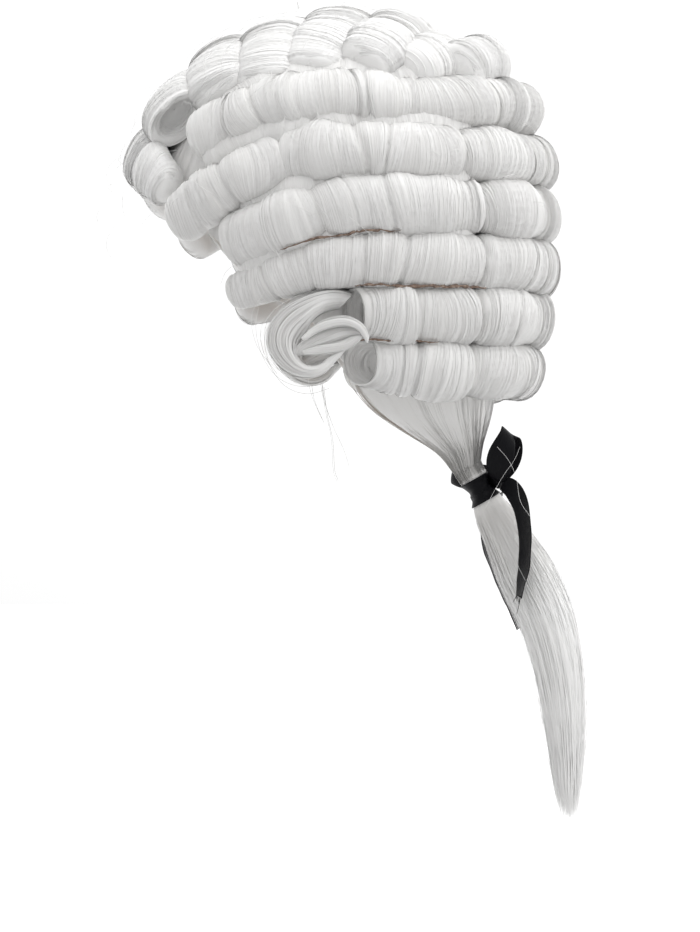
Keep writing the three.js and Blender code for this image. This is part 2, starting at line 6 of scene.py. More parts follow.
import bpy
import numpy as np
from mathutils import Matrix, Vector


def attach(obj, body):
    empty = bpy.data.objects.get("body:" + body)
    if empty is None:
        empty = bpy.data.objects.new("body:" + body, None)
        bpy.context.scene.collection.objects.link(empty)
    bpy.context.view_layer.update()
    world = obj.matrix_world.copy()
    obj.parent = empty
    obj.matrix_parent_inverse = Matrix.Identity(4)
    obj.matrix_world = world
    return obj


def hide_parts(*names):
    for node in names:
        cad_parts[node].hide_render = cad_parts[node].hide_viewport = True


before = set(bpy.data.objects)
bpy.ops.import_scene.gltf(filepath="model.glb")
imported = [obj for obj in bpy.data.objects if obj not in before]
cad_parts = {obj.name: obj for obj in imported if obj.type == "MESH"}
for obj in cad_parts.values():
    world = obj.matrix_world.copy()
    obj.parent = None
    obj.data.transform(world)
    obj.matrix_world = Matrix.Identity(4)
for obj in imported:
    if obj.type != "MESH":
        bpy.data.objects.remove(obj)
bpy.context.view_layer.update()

# Lengths are in millimetres and angles in degrees until a mesh is made, which is in metres.
# The head, the layers on it and the places of the rolls are those of the solids. The sections of
# rolls, curls, queue and ribbon are drawn anew where soft hair or cloth is fuller than a plain solid.
MM = 0.001
HEAD_HALVES = np.array([76.0, 94.0, 94.0])
NAPE_FALL = 150.0
CAP_WALL = 1.6
SEAT_GAP = 0.3
COMBED_OUTSIDE = 4.9
COMBED_DEPTH = 168.0
CAP_RIM_INSET = 4.0
ROLL_SEAT = COMBED_OUTSIDE + SEAT_GAP
ROW_PITCH = 27.5
FIRST_ROW_LEVEL = -27.0
ROLL_GAP = 1.2
ROLL_HALF_HEIGHT = (ROW_PITCH - ROLL_GAP) / 2
ROLL_HALF_DEPTH = 12.5
CROWN_LEANS = np.linspace(65.5, -20.5, 6)
CROWN_STEP = 17.2
CROWN_SWEEP = 9.0
CROWN_SWEPT_ANGLE = 37.0

RIM_AZIMUTHS = (0, 40, 74, 86, 95, 104, 114, 124, 134, 146, 160, 180)
RIM_DEPTHS = (1, 1, 0.99, 0.95, 0.84, 0.75, 0.7, 0.61, 0.52, 0.455, 0.425, 0.41)

# Side rolls: row, then azimuth, sink in row pitches and swell of each section
SIDE_ROLLS = {
    "roll_1": (0, (
        (66, 0, 0.86), (72, 0, 0.99), (80, -0.03, 0.93), (88, -0.05, 1), (96, 0, 0.94),
        (104, 0.06, 1), (112, 0.16, 0.92), (119, 0.3, 0.99), (126, 0.46, 0.88), (132, 0.64, 0.84))),
    "roll_2_rear": (1, (
        (57, 0, 0.93), (64, 0, 0.99), (72, 0, 0.94), (80, 0, 1), (87, 0, 0.93), (93, 0.02, 0.98),
        (98, 0.06, 0.86))),
    "roll_2_front": (1, (
        (109, 0.26, 0.84), (114, 0.43, 0.97), (119, 0.61, 0.92), (124, 0.79, 0.99),
        (129, 0.98, 0.9), (134, 1.16, 0.86))),
    "roll_3": (2, (
        (53, 0, 0.93), (59, 0, 0.99), (66, 0, 0.94), (73, 0, 1), (80, 0.02, 0.93),
        (87, 0.07, 0.98), (94, 0.16, 0.9), (100, 0.28, 0.95), (106, 0.4, 0.9), (112, 0.53, 0.86),
        (116, 0.62, 0.8))),
    "roll_4": (3, (
        (53, 0, 0.93), (59, 0, 0.99), (66, 0, 0.94), (74, 0, 1), (82, 0.01, 0.93),
        (90, 0.05, 0.96), (97, 0.15, 0.88), (104, 0.3, 0.84), (110, 0.43, 0.74), (116, 0.55, 0.58))),
    "roll_5": (4, (
        (53, 0, 0.93), (59, 0, 1), (66, 0, 0.95), (73, 0, 1), (79, 0, 0.94), (85, 0, 0.95))),
    "roll_6": (5, (
        (53, 0.02, 0.93), (59, 0.02, 1), (65, -0.01, 0.94), (71, -0.04, 0.92), (78, -0.1, 0.78),
        (85, -0.2, 0.68))),
}

# Back rolls: row, azimuth of each end, sections and depth share
BACK_ROLLS = (
    (0, 53, 9, 1.42), (1, 44.5, 9, 1.1), (2, 41, 9, 0.95),
    (3, 41, 9, 0.9), (4, 41, 9, 0.88), (5, 40.5, 9, 0.97),
)
BACK_SWELLS = (0.93, 1, 0.93)
BACK_CROWN = {"reach": 30, "steps": 7, "depth": 1.5, "droop": 4}

# Crown rolls from the forehead back: angle of each end, sections and depth share
CROWN_ROLLS = ((33, 9, 0.76), (23, 7, 0.94), (30, 7, 0.95), (36, 9, 0.88), (37, 9, 0.92), (36, 9, 1.12))
CROWN_SWELLS = (0.94, 1)
# Hair between the last crown roll and the one behind it: lean, angle of each end, sections and depth
CROWN_FILL = (-34, 31, 7, 1.1)

# Temple curl
CURL_OUTER, CURL_LOCK, CURL_WIDTH = 21.0, 11.0, 22.0
CURL_BEHIND_MIDDLE = -12.0

# Tie, bundle and queue
TIE = np.array([0, 78.5, -226.5])
TIE_LEAN = 30.0
BUNDLE_DOWN = np.array([0, math.sin(math.radians(TIE_LEAN)), -math.cos(math.radians(TIE_LEAN))])
BUNDLE_OUT = np.array([0, math.cos(math.radians(TIE_LEAN)), math.sin(math.radians(TIE_LEAN))])
WAIST_HALF_DEPTH, WAIST_HALF_BREADTH, WAIST_FLARE = 5.0, 8.0, 2.4
BAND_WIDTH = 13.0
QUEUE_LENGTH, QUEUE_DRIFT, QUEUE_HALF_DEPTH, QUEUE_HALF_BREADTH = 170.5, 47.0, 14.5, 17.0
# fall, drift, breadth and depth as shares of the queue's sizes
QUEUE_SECTIONS = (
    (0.06, 0.12, 0.62, 0.62), (0.13, 0.26, 0.74, 0.76), (0.25, 0.49, 0.92, 1), (0.38, 0.72, 1, 0.98),
    (0.53, 0.87, 1, 0.86), (0.66, 0.935, 0.95, 0.77), (0.82, 0.975, 0.8, 0.62), (0.94, 0.99, 0.65, 0.46),
    (1, 1, 0.52, 0.32))
QUEUE_SHADE = 0.36
NAPE_REACH = 84.0
NAPE_SECTIONS = ((0, 0), (0.2, 0.1), (0.41, 0.28), (0.6, 0.54), (0.78, 0.82), (1, 1))

# Ribbon: tails as out, back, fall, twist, tilt and width
RIBBON_WIDTH, RIBBON_THICKNESS = 15.0, 0.5
KNOT_LENGTH, KNOT_DEPTH = 12.0, 7.0
LOOP_LENGTH, LOOP_BULGE, TAIL_LENGTH = 27.0, 11.0, 78.0
NEAR_TAIL = (
    (0.03, 0.03, 0.0, 55, 60, 0.5), (0.11, 0.1, 0.05, 46, 40, 0.75), (0.16, 0.155, 0.16, 32, 10, 0.95),
    (0.2, 0.18, 0.35, 24, 0, 1), (0.225, 0.175, 0.52, 22, 0, 1), (0.235, 0.15, 0.67, 15, 0, 1),
    (0.23, 0.135, 0.765, 8, 0, 1))
FAR_TAIL = (
    (0.04, 0.03, 0.08, 30, 20, 0.4), (0.14, 0, 0.16, 24, 10, 0.7), (0.185, -0.07, 0.3, 18, 0, 1),
    (0.2, -0.06, 0.45, 14, 0, 1), (0.235, 0.03, 0.68, 16, 0, 1), (0.25, 0.12, 0.87, 20, 0, 1),
    (0.25, 0.18, 1, 22, 0, 1))

# Hair
CORNER = 0.94
CROWN_CORNER = 0.9
FULLER = 2.6
CROWN_FULLER = 4.0
FULLER_FRONT = 0.8
LEANING = 6.0
LEANING_TOP_ROW = 9.0
LOOSENESS = 0.6
SMOOTH_LOOSENESS = 0.3
CLEAR_OF_SHELL = 0.06
FILL_STRANDS_PER_MM = 1.7
# Lighter tone for the crown's rolls: painted light from above.
CROWN_PAINTED_LIGHT = 0.1
SHELL_LIFT = 0.3
SHELL_STEP = 1.3
AROUND = 24
STRANDS_PER_MM = 3.6
STRAND_STEPS = 17
WRAP_WIDTH = 4.6
FACE_STRANDS = 110
STRAY_RADIUS = 0.13
WEFT_LIFT = ROLL_SEAT + ROLL_HALF_DEPTH + 7.6
CREASE_SPACING = 27.0
SEED = 1765

# Camera: the photograph's frame of 700 by 932 pixels spans this many millimetres at the wig's middle
VIEW_HEIGHT = 494.0
CAMERA_DISTANCE = 1900.0
CAMERA_BACK, CAMERA_LEVEL = 9.5, -214.0
SENSOR_HEIGHT = 36.0
FLOOR_LEVEL = -520.0
WORLD_LIGHT = 1.6
# Floor: distances in metres behind the wig between which it turns from its near colour, a grey of
# painted shade, to its far one, which also glows as painted light
FLOOR_FADE = (0.05, 0.44)
FLOOR_NEAR_PAINTED_SHADE = (0.52, 0.52, 0.52)
FLOOR_FAR = (0.9, 0.9, 0.9)
FLOOR_PAINTED_GLOW = 0.17
KEY_LIGHT = 5.0
KEY_PLACE = (0.25, 0.4, 1.4)
SKY_BRIGHT_SIDE = (-0.2, 0.35, 0.92)
SKY_STOPS = ((0.2, (0.15,) * 3), (0.4, (0.25,) * 3), (0.58, (0.65,) * 3), (0.9, (0.95,) * 3))


def seeded(name):
    return np.random.default_rng([SEED, zlib.crc32(name.encode())])


def unit(v):
    return v / np.maximum(np.linalg.norm(v, axis=-1, keepdims=True), 1e-9)


def run_length(points):
    """Length along a line of points, from its start to each of them."""
    return np.concatenate([[0], np.cumsum(np.linalg.norm(np.diff(points, axis=0), axis=1))])


def spline(xs, ys, x):
    """Smooth curve through a short table."""
    xs, ys = np.asarray(xs, float), np.asarray(ys, float)
    slopes = np.gradient(ys, xs)
    k = np.clip(np.searchsorted(xs, x, side="right") - 1, 0, len(xs) - 2)
    h = xs[k + 1] - xs[k]
    t = np.clip((x - xs[k]) / h, 0, 1)
    ends = (1 + 2 * t) * (1 - t) ** 2 * ys[k] + t * t * (3 - 2 * t) * ys[k + 1]
    return ends + h * (t * (1 - t) ** 2 * slopes[k] + t * t * (t - 1) * slopes[k + 1])


def spline3(xs, points, x):
    return np.stack([spline(xs, np.asarray(points)[:, i], x) for i in range(3)], -1)


def noise(rng, size=997):
    """Smooth noise of one number, from -1 to 1, with a step of 1."""
    values = rng.uniform(-1, 1, size)

    def at(x):
        whole = np.floor(x).astype(int)
        t = x - whole
        t = t * t * (3 - 2 * t)
        return values[whole % size] * (1 - t) + values[(whole + 1) % size] * t

    return at


class Locks:
    """Uneven locks side by side. Relief is in mm, nought at a lock's crest and less in a crease."""

    def __init__(self, rng, start, end, width, depth, periodic=False):
        count = max(3, int(round((end - start) / width)))
        widths = rng.uniform(0.5, 1.5, count)
        self.edges = start + np.concatenate([[0], np.cumsum(widths)]) * (end - start) / widths.sum()
        self.depth = depth * rng.uniform(0.45, 1.25, count)
        self.lift = depth * rng.uniform(-0.35, 0.35, count)
        self.tilt = depth * rng.uniform(-0.9, 0.9, count)
        self.span = end - start
        self.periodic = periodic

    def relief(self, x):
        if self.periodic:
            x = self.edges[0] + (x - self.edges[0]) % self.span
        k = np.clip(np.searchsorted(self.edges, x, side="right") - 1, 0, len(self.depth) - 1)
        t = np.clip((x - self.edges[k]) / (self.edges[k + 1] - self.edges[k]), 0, 1)
        crest = 1 - np.abs(2 * t - 1) ** 3
        return self.depth[k] * (crest - 1) + (self.lift[k] + self.tilt[k] * (t - 0.5)) * crest


class Skin:
    """Points and faces of one piece, gathered part by part, in mm."""

    def __init__(self):
        self.points, self.tones, self.faces, self.uvs = [], [], [], []
        self.count = 0

    def add(self, points, tones, faces, uvs):
        self.points.append(points.reshape(-1, 3))
        self.tones.append(np.broadcast_to(tones, points.shape[:-1]).reshape(-1))
        self.faces.append(faces + self.count)
        self.uvs.append(uvs)
        self.count += self.points[-1].shape[0]

    def grid(self, points, uv, tones=1.0, wrap=False, ring=False, flip=False):
        """Quads over points[row, column]. Wrap joins the last column to the first, and ring the rows."""
        rows, columns = points.shape[:2]
        index = np.arange(rows * columns).reshape(rows, columns)
        if wrap:
            index = np.concatenate([index, index[:, :1]], 1)
            uv = np.concatenate([uv, 2 * uv[:, -1:] - uv[:, -2:-1]], 1)
        if ring:
            index = np.concatenate([index, index[:1]])
            uv = np.concatenate([uv, uv[:1]])
            rows += 1
        order = ((0, 0), (1, 0), (1, 1), (0, 1)) if flip else ((0, 0), (0, 1), (1, 1), (1, 0))
        width = index.shape[1]

        def corners(values):
            return np.stack(
                [values[r:rows - 1 + r, c:width - 1 + c] for r, c in order], 2)

        faces = corners(index).reshape(-1, 4)
        self.add(points, tones, faces, corners(uv).reshape(-1, 4, 2))

    def strips(self, centres, sideways, tones):
        """Flat ribbons through centres[strand, step], each as wide as twice its sideways vector."""
        strands, steps = centres.shape[:2]
        points = np.stack([centres - sideways, centres + sideways], 2)
        index = np.arange(strands * steps * 2).reshape(strands, steps, 2)
        faces = np.stack(
            [index[:, :-1, 0], index[:, :-1, 1], index[:, 1:, 1], index[:, 1:, 0]], -1)
        v = np.linspace(0, 20, steps)
        u = np.arange(strands) * 3.7
        uv = np.stack(np.broadcast_arrays(u[:, None, None] + np.array([0, 0.4]), v[None, :, None]), -1)
        uvs = np.stack([uv[:, :-1, 0], uv[:, :-1, 1], uv[:, 1:, 1], uv[:, 1:, 0]], 2)
        tone = np.broadcast_to(np.reshape(tones, (strands, -1, 1)), points.shape[:-1])
        self.add(points, tone, faces.reshape(-1, 4), uvs.reshape(-1, 4, 2))

    def hairs(self, centres, radii, tones):
        """Three-sided tubes through centres[strand, step], closed at both ends by their taper."""
        strands, steps = centres.shape[:2]
        run = unit(np.gradient(centres, axis=1))
        side = unit(np.cross(run, np.array([0.31, 0.17, 0.93])))
        other = np.cross(run, side)
        turns = np.radians([0, 120, 240])
        points = (centres[:, :, None] + radii[..., None, None] * (
            side[:, :, None] * np.cos(turns)[:, None] + other[:, :, None] * np.sin(turns)[:, None]))
        index = np.arange(strands * steps * 3).reshape(strands, steps, 3)
        index = np.concatenate([index, index[:, :, :1]], 2)
        faces = np.stack(
            [index[:, :-1, :-1], index[:, :-1, 1:], index[:, 1:, 1:], index[:, 1:, :-1]], -1)
        faces = faces.reshape(-1, 4)
        uvs = np.zeros((len(faces), 4, 2))
        tone = np.broadcast_to(np.asarray(tones)[:, None, None], points.shape[:-1])
        self.add(points, tone, faces, uvs)

    def make(self, name, material):
        mesh = bpy.data.meshes.new(name)
        points = np.concatenate(self.points) * MM
        faces = np.concatenate(self.faces)
        mesh.vertices.add(len(points))
        mesh.vertices.foreach_set("co", points.astype(np.float32).ravel())
        mesh.loops.add(faces.size)
        mesh.loops.foreach_set("vertex_index", faces.astype(np.int32).ravel())
        mesh.polygons.add(len(faces))
        mesh.polygons.foreach_set("loop_start", np.arange(0, faces.size, 4, dtype=np.int32))
        mesh.polygons.foreach_set("use_smooth", np.ones(len(faces), bool))
        uv_layer = mesh.uv_layers.new(name="strand")
        uv_layer.data.foreach_set("uv", np.concatenate(self.uvs).astype(np.float32).ravel())
        tone = mesh.attributes.new("tone", "FLOAT", "POINT")
        tone.data.foreach_set("value", np.concatenate(self.tones).astype(np.float32))
        mesh.update(calc_edges=True)
        mesh.validate()
        mesh.materials.append(material)
        piece = bpy.data.objects.new(name, mesh)
        bpy.context.scene.collection.objects.link(piece)
        return piece


def on_head(azimuth, level, lift):
    """Points lifted off the head along its normals, and those normals."""
    azimuth, level, lift = np.broadcast_arrays(*(np.asarray(v, float) for v in (azimuth, level, lift)))
    height = level + HEAD_HALVES[2]
    reach = np.where(height > 0, HEAD_HALVES[2], NAPE_FALL)
    spread = np.sqrt(np.clip(1 - (height / reach) ** 2, 0, None))
    turn = np.radians(azimuth)
    x = HEAD_HALVES[0] * spread * np.sin(turn)
    y = HEAD_HALVES[1] * spread * np.cos(turn)
    normal = unit(np.stack([x / HEAD_HALVES[0] ** 2, y / HEAD_HALVES[1] ** 2, height / reach ** 2], -1))
    return np.stack([x, y, level], -1) + normal * lift[..., None], normal


def seated(azimuth, level, lift):
    """The same, where the lifted points have the levels asked for."""
    low, high = level - lift, np.minimum(0, level + lift)
    for _ in range(30):
        middle = (low + high) / 2
        below = on_head(azimuth, middle, lift)[0][..., 2] < level
        low, high = np.where(below, middle, low), np.where(below, high, middle)
    return on_head(azimuth, low, lift)


def rim_depth(azimuth):
    turn = np.abs((np.asarray(azimuth) + 180) % 360 - 180)
    return COMBED_DEPTH * np.interp(turn, RIM_AZIMUTHS, RIM_DEPTHS)


class Path:
    """Centre line of a roll or a lock, measured by its length, with its frame and half sizes."""

    def __init__(self, points, normals, half_depth, half_height):
        self.points = points
        self.s = run_length(points)
        self.length = self.s[-1]
        self.run = unit(np.gradient(points, self.s, axis=0))
        self.along = unit(np.cross(self.run, normals))
        self.out = np.cross(self.along, self.run)
        self.half_depth, self.half_height = half_depth, half_height

    def at(self, s):
        inside = np.clip(s, 0, self.length)

        def pick(values):
            return np.stack([np.interp(inside, self.s, values[:, i]) for i in range(3)], -1)

        run = pick(self.run)
        centre = pick(self.points) + run * (s - inside)[..., None]
        half_depth = np.interp(inside, self.s, self.half_depth)
        half_height = np.interp(inside, self.s, self.half_height)
        return centre, run, unit(pick(self.out)), unit(pick(self.along)), half_depth, half_height


def row_path(level, azimuth, swell, depth):
    half_depth = ROLL_HALF_DEPTH * swell * depth
    points, normals = seated(azimuth, level, ROLL_SEAT + half_depth)
    return Path(points, normals, half_depth, ROLL_HALF_HEIGHT * swell)


def side_path(row, sections, sign):
    table = np.array(sections, float)
    azimuth = np.linspace(table[0, 0], table[-1, 0], 160)
    sink = spline(table[:, 0], table[:, 1], azimuth)
    swell = spline(table[:, 0], table[:, 2], azimuth)
    return row_path(FIRST_ROW_LEVEL - ROW_PITCH * (row + sink), sign * azimuth, swell, 1)


def even_swells(steps, swells, share):
    values = [swells[0] if i in (0, steps - 1) else swells[i % len(swells)] for i in range(steps)]
    return spline(np.linspace(-1, 1, steps), values, share)


def back_path(row, reach, steps, depth):
    share = np.linspace(-1, 1, 200)
    level = np.full(200, FIRST_ROW_LEVEL - ROW_PITCH * row)
    swell = even_swells(steps, BACK_SWELLS, share)
    return row_path(level, reach * share, swell, depth + (1 - depth) * share ** 2)


def back_crown_path():
    share = np.linspace(-1, 1, 120)
    radius = HEAD_HALVES[2] + ROLL_SEAT + ROLL_HALF_DEPTH
    row_rise = math.asin((FIRST_ROW_LEVEL + HEAD_HALVES[2]) / radius)
    crown_rise = math.radians(90 + CROWN_LEANS[-1])
    level = radius * math.sin((row_rise + crown_rise) / 2) - HEAD_HALVES[2]
    swell = even_swells(BACK_CROWN["steps"], BACK_SWELLS, share)
    sunk = level - BACK_CROWN["droop"] * share ** 2
    return row_path(sunk, BACK_CROWN["reach"] * share, swell, BACK_CROWN["depth"])


def crown_path(lean, reach, steps, depth):
    share = np.linspace(-1, 1, 200)
    angle = np.radians(reach * share)
    swell = even_swells(steps, CROWN_SWELLS, share)
    half_depth = ROLL_HALF_DEPTH * swell * depth
    swept = np.radians(lean + CROWN_SWEEP * (np.abs(reach * share) / CROWN_SWEPT_ANGLE) ** 1.5)
    radius = HEAD_HALVES[2] * np.cos(angle)
    points = np.stack([
        HEAD_HALVES[0] * np.sin(angle),
        -HEAD_HALVES[1] * np.cos(angle) * np.sin(swept),
        radius * np.cos(swept) - HEAD_HALVES[2]], -1)
    normals = unit((points + [0, 0, HEAD_HALVES[2]]) / HEAD_HALVES ** 2)
    lift = ROLL_SEAT + half_depth
    arc = math.radians(CROWN_STEP) * (radius + lift * np.cos(angle))
    half_height = (arc - ROLL_GAP) / 2 * swell
    return Path(points + normals * lift[:, None], normals, half_depth, half_height)


class Creases:
    """Deep creases at uneven distances along a roll, and soft swellings between them."""

    def __init__(self, rng, start, end, spacing, depth):
        count = max(1, int(round((end - start) / spacing)))
        steps = rng.uniform(0.5, 1.5, count + 1)
        self.at = start + np.cumsum(steps)[:-1] * (end - start) / steps.sum()
        self.depth = depth * rng.uniform(0.35, 1.2, count)
        self.width = rng.uniform(1.0, 2.4, count)
        self.swell, self.ripple = noise(rng), noise(rng)

    def relief(self, x):
        soft = 1.5 * self.swell(x / 15) - 0.5 + 0.12 * self.ripple(x / 3.6)
        for at, depth, width in zip(self.at, self.depth, self.width):
            soft = soft - depth * np.exp(-((x - at) / width) ** 2)
        return soft


class Wraps:
    """Narrow locks laid over one another like a bandage, each with its own slant and lift."""

    def __init__(self, rng, start, end, width):
        count = max(3, int(round((end - start) / width)))
        widths = rng.uniform(0.4, 1.6, count)
        edges = start + np.concatenate([[0], np.cumsum(widths)]) * (end - start) / widths.sum()
        self.edges, self.centre, self.half = edges, (edges[1:] + edges[:-1]) / 2, np.diff(edges) / 2
        slant, bow, turn = noise(rng), noise(rng), noise(rng)
        place = np.arange(count)
        self.slant = 1.3 * slant(place / 4.3) + rng.normal(0, 0.12, count)
        self.bow, self.bow_at = 0.8 * bow(place / 1.9), math.pi * turn(place / 2.3)
        self.pinch, self.pinch_at = rng.uniform(0, 0.3, count), rng.uniform(-math.pi, math.pi, count)
        self.lift = rng.uniform(0, 0.16, count) + 0.4 * rng.random(count) ** 9
        self.tone = rng.uniform(-0.02, 0.02, count)

    def place(self, home, phi):
        """Place along the roll, lift and tone of strands that belong at home."""
        k = np.clip(np.searchsorted(self.edges, home, side="right") - 1, 0, len(self.centre) - 1)
        across = ((home - self.centre[k]) / self.half[k])[:, None]
        centre, slant, bow, bow_at, pinch, pinch_at, lift, half = (v[k][:, None] for v in (
            self.centre, self.slant, self.bow, self.bow_at, self.pinch, self.pinch_at,
            self.lift, self.half))
        drawn = 1.12 - pinch * (0.5 + 0.5 * np.cos(phi - pinch_at))
        place = centre + slant * phi + bow * np.cos(phi - bow_at) + half * across * drawn
        return place, lift + 0.22 * (1 - across ** 2), self.tone[k]


# Kinds of roll end: reach beyond the solid's last section and squareness of a closed one
CLOSED_ENDS = {"round": (9.0, 2.2), "butt": (11.5, 3.6)}
OPEN_REACH = 2.4
# Faces of the open ends, from the lip into the hollow: share of the section and distance beyond it
OPEN_FACES = {
    "wide": (
        (0.85, 2.0), (0.78, 1.6), (0.72, 1.0), (0.67, 0.0), (0.63, -1.5), (0.58, -3.5), (0.52, -6),
        (0.44, -8), (0.34, -9.5), (0.02, -10)),
    "flared": (
        (0.85, 0.5), (0.8, -1.5), (0.73, -4), (0.65, -7), (0.56, -10), (0.46, -13), (0.34, -16),
        (0.02, -17)),
}


def end_profile(kind):
    """Rows past a roll's last section: distance beyond it and share of the section."""
    if kind in CLOSED_ENDS:
        reach, square = CLOSED_ENDS[kind]
        beyond = reach * np.sin(np.radians(np.array([8, 18, 29, 40, 51, 61, 70, 78, 84, 88])))
        share = (1 - (beyond / reach) ** square) ** (1 / square)
        return np.append(beyond, reach), np.append(share, 0.01)
    turn = np.radians(np.linspace(15, 90, 5))
    face_share, face_beyond = np.array(OPEN_FACES[kind]).T
    beyond = np.concatenate([OPEN_REACH * np.sin(turn), face_beyond])
    return beyond, np.concatenate([0.9 + 0.1 * np.cos(turn), face_share])


class Roll:
    """Hair wound round a path in narrow overlapping locks, drawn strand by strand."""

    def __init__(self, name, path, ends, cut=0.0, spacing=CREASE_SPACING, depth=1.5,
                 corner=CORNER, fuller=FULLER, leaning=LEANING, tone=0.0, loose=LOOSENESS):
        self.rng = seeded(name)
        self.leaning, self.tone, self.loose = leaning, tone, loose
        self.path, self.ends, self.cut = path, ends, cut
        self.corner, self.fuller = corner, fuller
        length = path.length
        self.low = 0.7 - (CLOSED_ENDS[ends[0]][0] if ends[0] in CLOSED_ENDS else OPEN_REACH)
        self.high = length - 0.7 + (CLOSED_ENDS[ends[1]][0] if ends[1] in CLOSED_ENDS else OPEN_REACH)
        self.creases = Creases(self.rng, 6, length - 6, spacing, depth)
        self.wraps = Wraps(self.rng, self.low, self.high, WRAP_WIDTH)
        self.sway, self.swing = noise(self.rng), noise(self.rng)

    def drift(self, s, phi):
        return self.leaning * self.sway(s / 24) * np.sin(phi + 2.5 * self.swing(s / 37))

    def share_at(self, s):
        """Share of the section that a strand at s goes round."""
        share = np.ones_like(s)
        for kind, beyond in zip(self.ends, (-s, s - self.path.length)):
            if kind in CLOSED_ENDS:
                reach, square = CLOSED_ENDS[kind]
                part = np.clip(beyond / reach, 0, 0.995)
            else:
                square, part = 2.0, 0.44 * np.clip(beyond / OPEN_REACH, 0, 1)
            share = share * (1 - part ** square) ** (1 / square)
        return share

    def surface(self, s, share, phi, lift):
        """Points of the roll and the directions out of its surface."""
        length = self.path.length
        near_end = np.clip((s - length + 30) / 30, 0, 1)
        pulled = s - self.cut * (0.5 + 0.5 * np.cos(phi)) * near_end ** 2 * (3 - 2 * near_end)
        centre, run, out, along, half_depth, half_height = self.path.at(pulled)
        relief = self.creases.relief(s - self.drift(s, phi))
        grown = (relief + lift) * np.clip(share * 1.3 - 0.3, 0.1, 1)
        corner = 1 - (1 - self.corner) * np.clip(share * 2.5 - 1.5, 0, 1)
        across = np.sign(np.cos(phi)) * np.abs(np.cos(phi)) ** corner
        upward = np.sign(np.sin(phi)) * np.abs(np.sin(phi)) ** corner
        x = (half_depth * share + grown) * across
        y = ((half_height + self.fuller) * share + grown) * upward
        point = centre + out * x[..., None] + along * y[..., None]
        beyond = np.clip(s - length, 0, None) - np.clip(-s, 0, None)
        normal = unit(out * np.cos(phi)[..., None] + along * np.sin(phi)[..., None]
                      + run * (0.16 * beyond * (1 - share))[..., None])
        return point, relief, run, normal

    def rows(self):
        length = self.path.length
        body = np.linspace(0, length, int(length / SHELL_STEP) + 1)
        (first_beyond, first_share), (last_beyond, last_share) = map(end_profile, self.ends)
        s = np.concatenate([-first_beyond[::-1], body, length + last_beyond])
        return s, np.concatenate([first_share[::-1], np.ones_like(body), last_share])

    def shell(self, skin):
        phi = np.linspace(-math.pi, math.pi, AROUND, endpoint=False)
        s, share = (v[:, None] + 0 * phi for v in self.rows())
        phi = phi + 0 * s
        points, relief, run, _ = self.surface(s, share, phi, SHELL_LIFT)
        end = np.where(s > self.path.length / 2, 1, -1)
        lip = np.exp(-((share - 0.8) / 0.12) ** 2) * (np.minimum(s, self.path.length - s) < 0)
        points = points + run * (end * lip * 1.1 * self.swing(3 + 2.2 * np.sin(phi) + end))[..., None]
        # Painted shade: the shell under the strands is a little darker than they are, and darker still
        # in its creases.
        tone = 0.98 + self.tone + 0.08 * np.clip(relief / 1.8, -1, 0)
        uv = np.stack([s - self.drift(s, phi), phi * ROLL_HALF_HEIGHT], -1)
        skin.grid(points, uv, tone, wrap=True)

    def strands(self, skin, count):
        rng = self.rng
        t = np.linspace(0, 1, STRAND_STEPS)
        home = rng.uniform(self.low, self.high, count)
        whole = rng.random(count) < 0.75
        start = np.where(whole, rng.uniform(-2.3, -1.9, count), rng.uniform(-1.9, -0.2, count))
        end = np.where(whole, rng.uniform(1.9, 2.3, count), rng.uniform(0.6, 2.2, count))
        phi = start[:, None] + (end - start)[:, None] * t
        s, lift, tone = self.wraps.place(home, phi)
        s = s + self.drift(home[:, None], phi) + 0.3 * rng.normal(0, 1, (count, 1)) * np.sin(2 * phi)
        s = np.clip(s, self.low, self.high)
        lift = lift + 0.12 * rng.random((count, 1))
        bowed = rng.random(count) ** 40 * 3.0
        lift = lift + bowed[:, None] * np.sin(math.pi * t) ** 2
        lift = SHELL_LIFT + CLEAR_OF_SHELL + self.loose * lift
        tucked = np.clip(np.minimum(t, 1 - t) * 6, 0, 1)
        lift = lift * tucked + SHELL_LIFT * 0.3 * (1 - tucked)
        points, _, _, normal = self.surface(s, self.share_at(s), phi, lift)
        twist = self.loose * rng.uniform(-0.08, 0.08, (count, 1))
        width = rng.uniform(0.1, 0.22, (count, 1)) * np.clip(tucked * 1.5, 0.08, 1)
        skin.strips(points, strand_sides(points, normal, twist) * width[..., None],
                    1 + self.tone + 0.4 * tone + rng.uniform(-0.015, 0.015, count))

    def face_strands(self, skin, last, count):
        """Strands wound round the face and the hollow of an open end."""
        rng = self.rng
        beyond, share = end_profile(self.ends[1 if last else 0])
        t = np.linspace(0, 1, STRAND_STEPS)
        start = rng.uniform(-math.pi, math.pi, (count, 1))
        phi = start + rng.uniform(1.2, 4.0, (count, 1)) * t
        part = rng.uniform(0.5, 0.97, (count, 1)) + rng.uniform(-0.06, 0.06, (count, 1)) * t
        reach = np.interp(part, share[::-1], beyond[::-1])
        s = self.path.length + reach if last else -reach
        points, _, run, normal = self.surface(s, part, phi, SHELL_LIFT)
        facing = run * (1 if last else -1) - normal * 0.6
        points = points + unit(facing) * (0.15 + 0.5 * rng.random((count, 1, 1)) ** 2)
        twist = rng.uniform(-0.3, 0.3, (count, 1))
        width = rng.uniform(0.1, 0.22, (count, 1)) * np.clip(np.minimum(t, 1 - t) * 9, 0.1, 1)
        skin.strips(points, strand_sides(points, unit(facing), twist) * width[..., None],
                    self.tone + rng.uniform(0.93, 1.03, count))

    def build(self):
        skin = Skin()
        self.shell(skin)
        self.strands(skin, int((self.high - self.low) * STRANDS_PER_MM))
        for last, kind in enumerate(self.ends):
            if kind not in CLOSED_ENDS:
                self.face_strands(skin, bool(last), FACE_STRANDS)
        return skin


